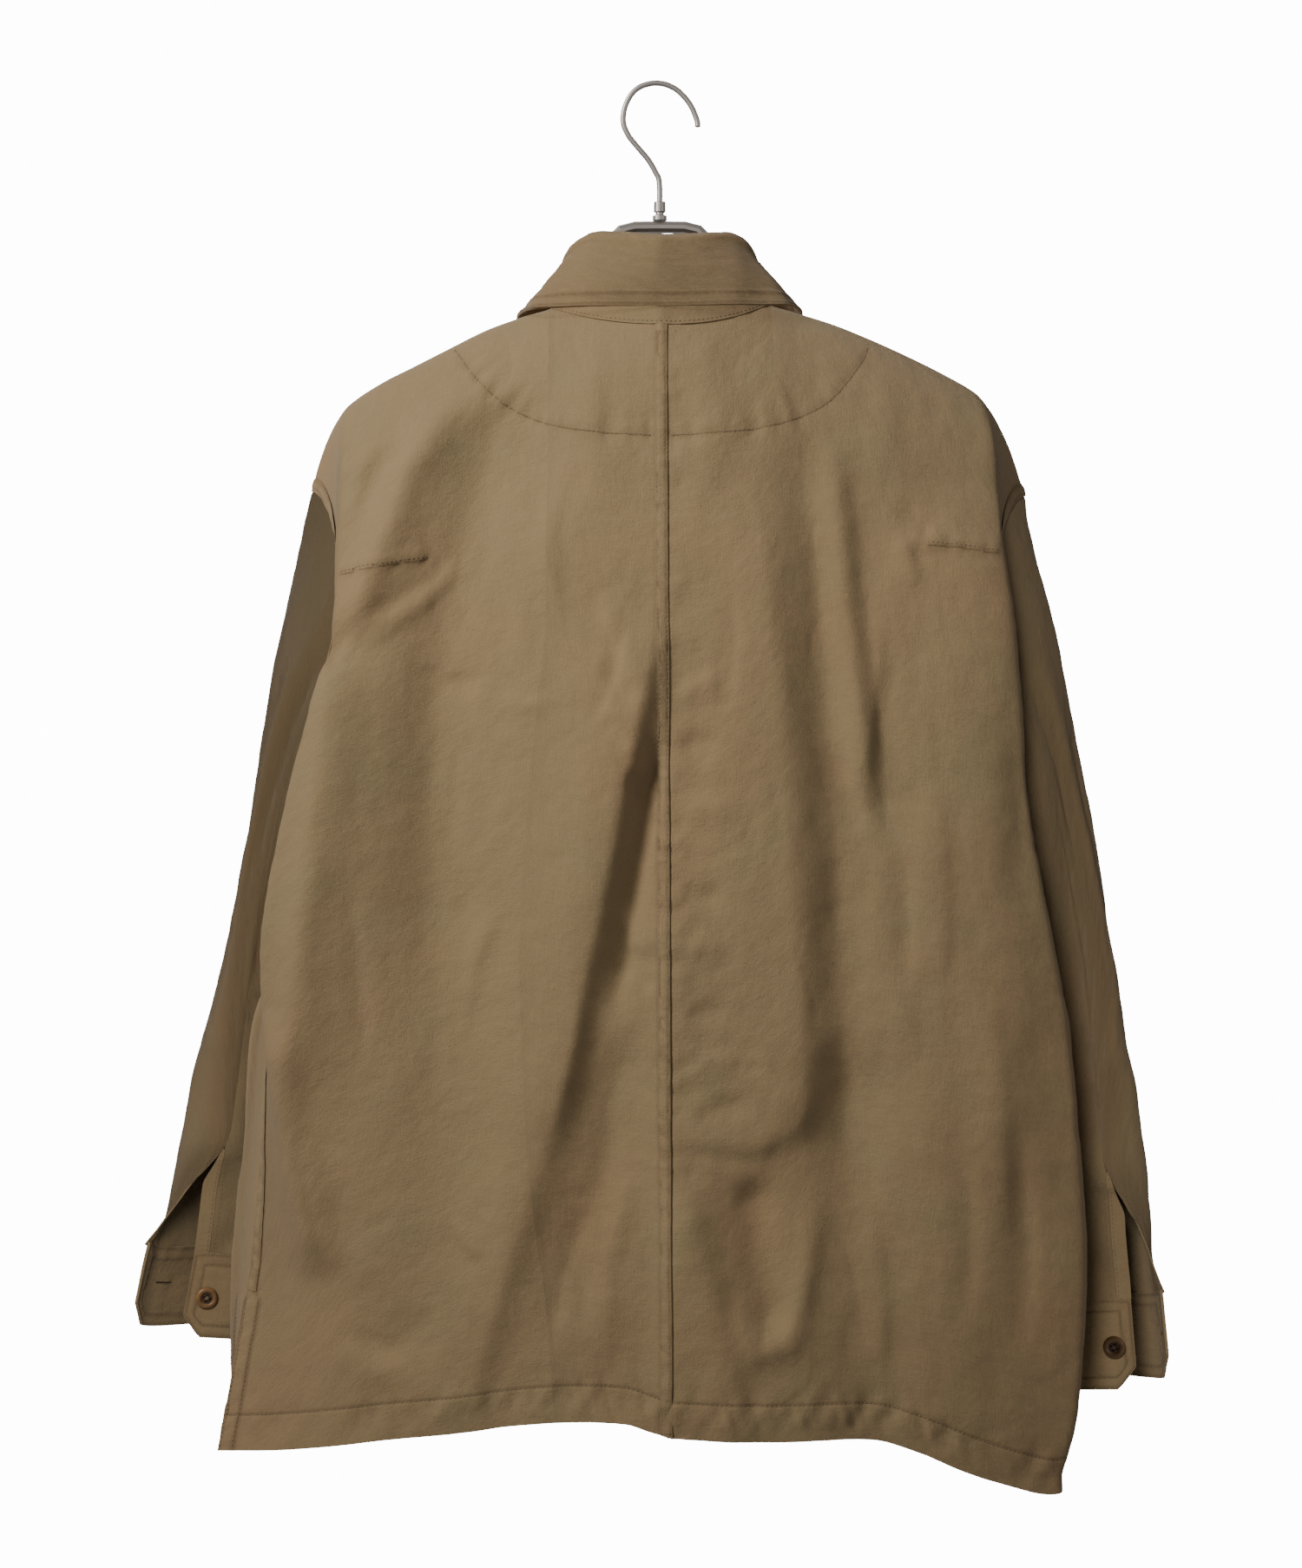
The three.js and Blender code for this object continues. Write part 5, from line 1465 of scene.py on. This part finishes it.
# Buttons: a dished disc with four holes, its thread and its shank, on the cloth below it
button = {"radius": 7.2, "thickness": 2.6, "rim": 1.5, "dish": 0.7, "dishRadius": 3.4, "hole": 0.75,
          "holeDepth": 1.6, "holeOut": 1.7 / math.sqrt(1.6), "rings": 30, "around": 72, "gap": 1.4,
          "innerDark": 3.3, "thread": 0.28, "threadShift": 0.3, "shankThreads": 6, "shank": 0.9}


def buttonHeight(radius, angle):
    b = button
    edge = b["radius"]
    rounded = np.sqrt(np.clip(1 - np.clip((radius - edge + b["rim"]) / b["rim"], 0, 1) ** 2, 0, 1))
    height = b["thickness"] * (0.35 + 0.65 * rounded)
    height -= b["dish"] * (1 - ease((radius - b["dishRadius"]) / 1.4))
    x, y = radius * np.cos(angle), radius * np.sin(angle)
    fromHole = np.hypot(np.abs(x) - b["holeOut"], np.abs(y) - b["holeOut"])
    return height - b["holeDepth"] * (1 - ease((fromHole - b["hole"] + 0.2) / 0.4))


def makeButton(name, grid, turn):
    nearest = buttonPlace(name, grid)
    place, normal = grid.points[nearest], grid.normals[nearest]
    side = unit(np.cross(normal, np.array([math.sin(turn), 0.1, math.cos(turn)])))
    up = np.cross(normal, side)
    radius = np.linspace(0, 1, button["rings"])[:, None] ** 0.9 * button["radius"]
    angle = np.linspace(0, 2 * math.pi, button["around"], endpoint=False)[None]
    height = buttonHeight(radius, angle + 0 * radius)
    base = place + normal * (garment["clothThickness"] / 2 + button["gap"])

    def placed(r, a, h):
        r, a, h = np.broadcast_arrays(r, a, h)
        flat = (r * np.cos(a))[..., None] * side + (r * np.sin(a))[..., None] * up
        return base + flat + h[..., None] * normal

    rings = [placed(radius, angle, height), placed(radius[-1:], angle, np.array([[0.0]])),
             placed(np.array([[0.001]]), angle, np.array([[0.0]]))]
    points = np.concatenate(rings)
    rows, columns = points.shape[:2]
    faces = quads(np.arange(rows * columns).reshape(rows, columns), True)
    dark = 1 - ease((radius - button["innerDark"]) / 0.9) + 0 * angle
    dark = np.concatenate([dark.ravel(), np.zeros(2 * button["around"])])
    thing = makeObject("button_" + name, points.reshape(-1, 3) * mm, faces, "horn", 40, None, dark)
    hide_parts(name)
    thread = Stitching()
    hole, top = button["holeOut"], button["thickness"] - button["dish"]
    # The thread crosses between the holes in both ways, three times each, side by side
    for shift in (-button["threadShift"], 0, button["threadShift"]):
        for low, high in ((-hole, hole), (hole, -hole)):
            start, end = base + side * (shift - hole) + up * low, base + side * (shift + hole) + up * high
            path = np.array([mix(start, end, t) for t in (0, 0.5, 1)]) + normal * (top - 0.35)
            thread.single(path, normal)
    below = place + normal * 0.2
    for k in range(button["shankThreads"]):
        lean = side * math.cos(k) * button["shank"] + up * math.sin(k) * button["shank"]
        thread.single(np.array([below + lean, below + lean + normal * (button["gap"] + 0.4)]), side)
    thread.build("thread_" + name, button["thread"])


for side in sides:
    makeButton("cuff_button_" + side, cuffGrids[side], 0.5)
for k in range(1, 7):
    makeButton("front_button_" + str(k), panels["left"]["front"].grid, 0.2 * k)

# The hook is a smooth wire along its line, from the ferrule round to its rounded tip
hook = {"radius": 1.85, "around": 28, "cells": 12, "line": [
    (0, 74.4), (0, 66), (0.6, 60), (2.2, 56.4), (7.3, 47.7), (14.6, 39), (19.9, 32.3), (23, 25.6),
    (23.5, 19.4), (22.1, 12.7), (18.5, 5.7), (13.4, 1), (7.3, -1.3), (1.7, -1.85), (-4.5, -0.8),
    (-11.2, 2.6), (-17.4, 8.8), (-21.3, 15), (-24.1, 22.2), (-24.6, 25.9)]}


def makeHook():
    path = smoothLine(np.array([(x, 0, -drop) for x, drop in hook["line"]]), hook["cells"])
    along = unit(np.gradient(path, axis=0))
    bend = np.linspace(0, math.pi / 2, 7)[1:]
    path = np.concatenate([path, path[-1] + along[-1] * 0.9 * np.sin(bend)[:, None]])
    along = np.concatenate([along, np.repeat(along[-1:], len(bend), 0)])
    size = hook["radius"] * np.concatenate([np.ones(len(path) - len(bend)), np.maximum(np.cos(bend), 0.02)])
    out = np.array([[0, 1.0, 0]])
    angles = np.linspace(0, 2 * math.pi, hook["around"], endpoint=False)[None, :, None]
    rings = path[:, None] + size[:, None, None] * (np.cos(angles) * out[:, None]
                                                   + np.sin(angles) * np.cross(along, out)[:, None])
    index = np.arange(rings.shape[0] * hook["around"]).reshape(rings.shape[:2])
    return makeObject("wire_hanger_hook", rings.reshape(-1, 3) * mm, quads(index, True), "metal")


wire = makeHook()
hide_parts("hanger_hook")

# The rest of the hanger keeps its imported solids, in the same metal
for name in ("hanger_bar", "hanger_ferrule"):
    thing = bpy.data.objects[name]
    thing.data.materials.clear()
    thing.data.materials.append(materials["metal"])
print("buttons and hanger made")

# Light, floor and background. The sleeves hang back from the light, so they have their own lamp
light = {
    "key": {"place": (1.6, 1.5, 0.85), "aim": -0.2, "size": 0.8, "spread": 80, "power": 14.2,
            "colour": (1, 0.985, 0.96)},
    "sleeve key": {"place": (0.4, 2.2, 0.1), "aim": -1.0, "size": 0.7, "spread": 54, "power": 4.0,
                   "colour": (1, 0.985, 0.96)},
    "fill": {"place": (-1.6, 1.9, 0.2), "aim": -0.4, "size": 1.4, "spread": 140, "power": 4.5,
             "colour": (1, 0.99, 0.98)},
    "back": {"place": (0.6, -2.2, 0.9), "aim": -0.45, "size": 1.6, "spread": 160, "power": 30,
             "colour": (1, 1, 1)},
}
hangingBack = bpy.data.collections.new("hanging back")
for thing in bpy.data.objects:
    if thing.name.startswith(("cloth_sleeve", "cloth_cuff", "cloth_slit", "sleeve_")):
        hangingBack.objects.link(thing)
for name, data in light.items():
    lamp = bpy.data.lights.new(name, "AREA")
    lamp.shape, lamp.size = "DISK", data["size"]
    lamp.energy, lamp.color, lamp.spread = data["power"], data["colour"], math.radians(data["spread"])
    thing = bpy.data.objects.new(name, lamp)
    thing.location = data["place"]
    aim = Vector((0, 0, data["aim"])) - Vector(data["place"])
    thing.rotation_euler = aim.to_track_quat("-Z", "Y").to_euler()
    bpy.context.collection.objects.link(thing)
    if name != "back":
        linked = bpy.data.collections.new(name + " lights")
        thing.light_linking.receiver_collection = linked
        linked.children.link(hangingBack)
        state = "INCLUDE" if name == "sleeve key" else "EXCLUDE"
        linked.collection_children[0].light_linking.link_state = state

background = {"colour": (1, 1, 1, 1), "strength": 0.14, "seenStrength": 14, "mirrored": 0.28}
world = bpy.data.worlds.new("studio")
bpy.context.scene.world = world
studio = Look("studio", world)
isSeen = studio.node("LightPath", {}, {}, "Is Camera Ray")
isMirrored = studio.node("LightPath", {}, {}, "Is Glossy Ray")
glow = background["strength"] + isSeen * background["seenStrength"] + isMirrored * background["mirrored"]
shown = studio.node("Background", {}, {"Color": background["colour"], "Strength": glow})
studio.node("OutputWorld", {}, {"Surface": shown})

floor = {"drop": 1.3, "radius": 1.45, "colour": (0.86, 0.86, 0.86, 1)}
angles = np.linspace(0, 2 * math.pi, 96, endpoint=False)
rim = np.stack([np.cos(angles) * floor["radius"], np.sin(angles) * floor["radius"],
                0 * angles - floor["drop"]], -1)
floorMesh = bpy.data.meshes.new("floor")
floorMesh.from_pydata(rim.tolist(), [], [list(range(96))])
floorLook = Look("pale floor")
flatPlace = floorLook.node("TexCoord", {}, {}, "Object")
distance = floorLook.node("VectorMath", {"operation": "LENGTH"}, {"Vector": flatPlace}, "Value")
fade = ((distance - 0.5) / 0.95).math("MINIMUM", 1.0)
floorMesh.materials.append(floorLook.finish({"Base Color": floor["colour"], "Roughness": 0.9,
                                             "Alpha": 1 - fade}))
floorThing = bpy.data.objects.new("floor", floorMesh)
bpy.context.collection.objects.link(floorThing)
print("light and floor placed")
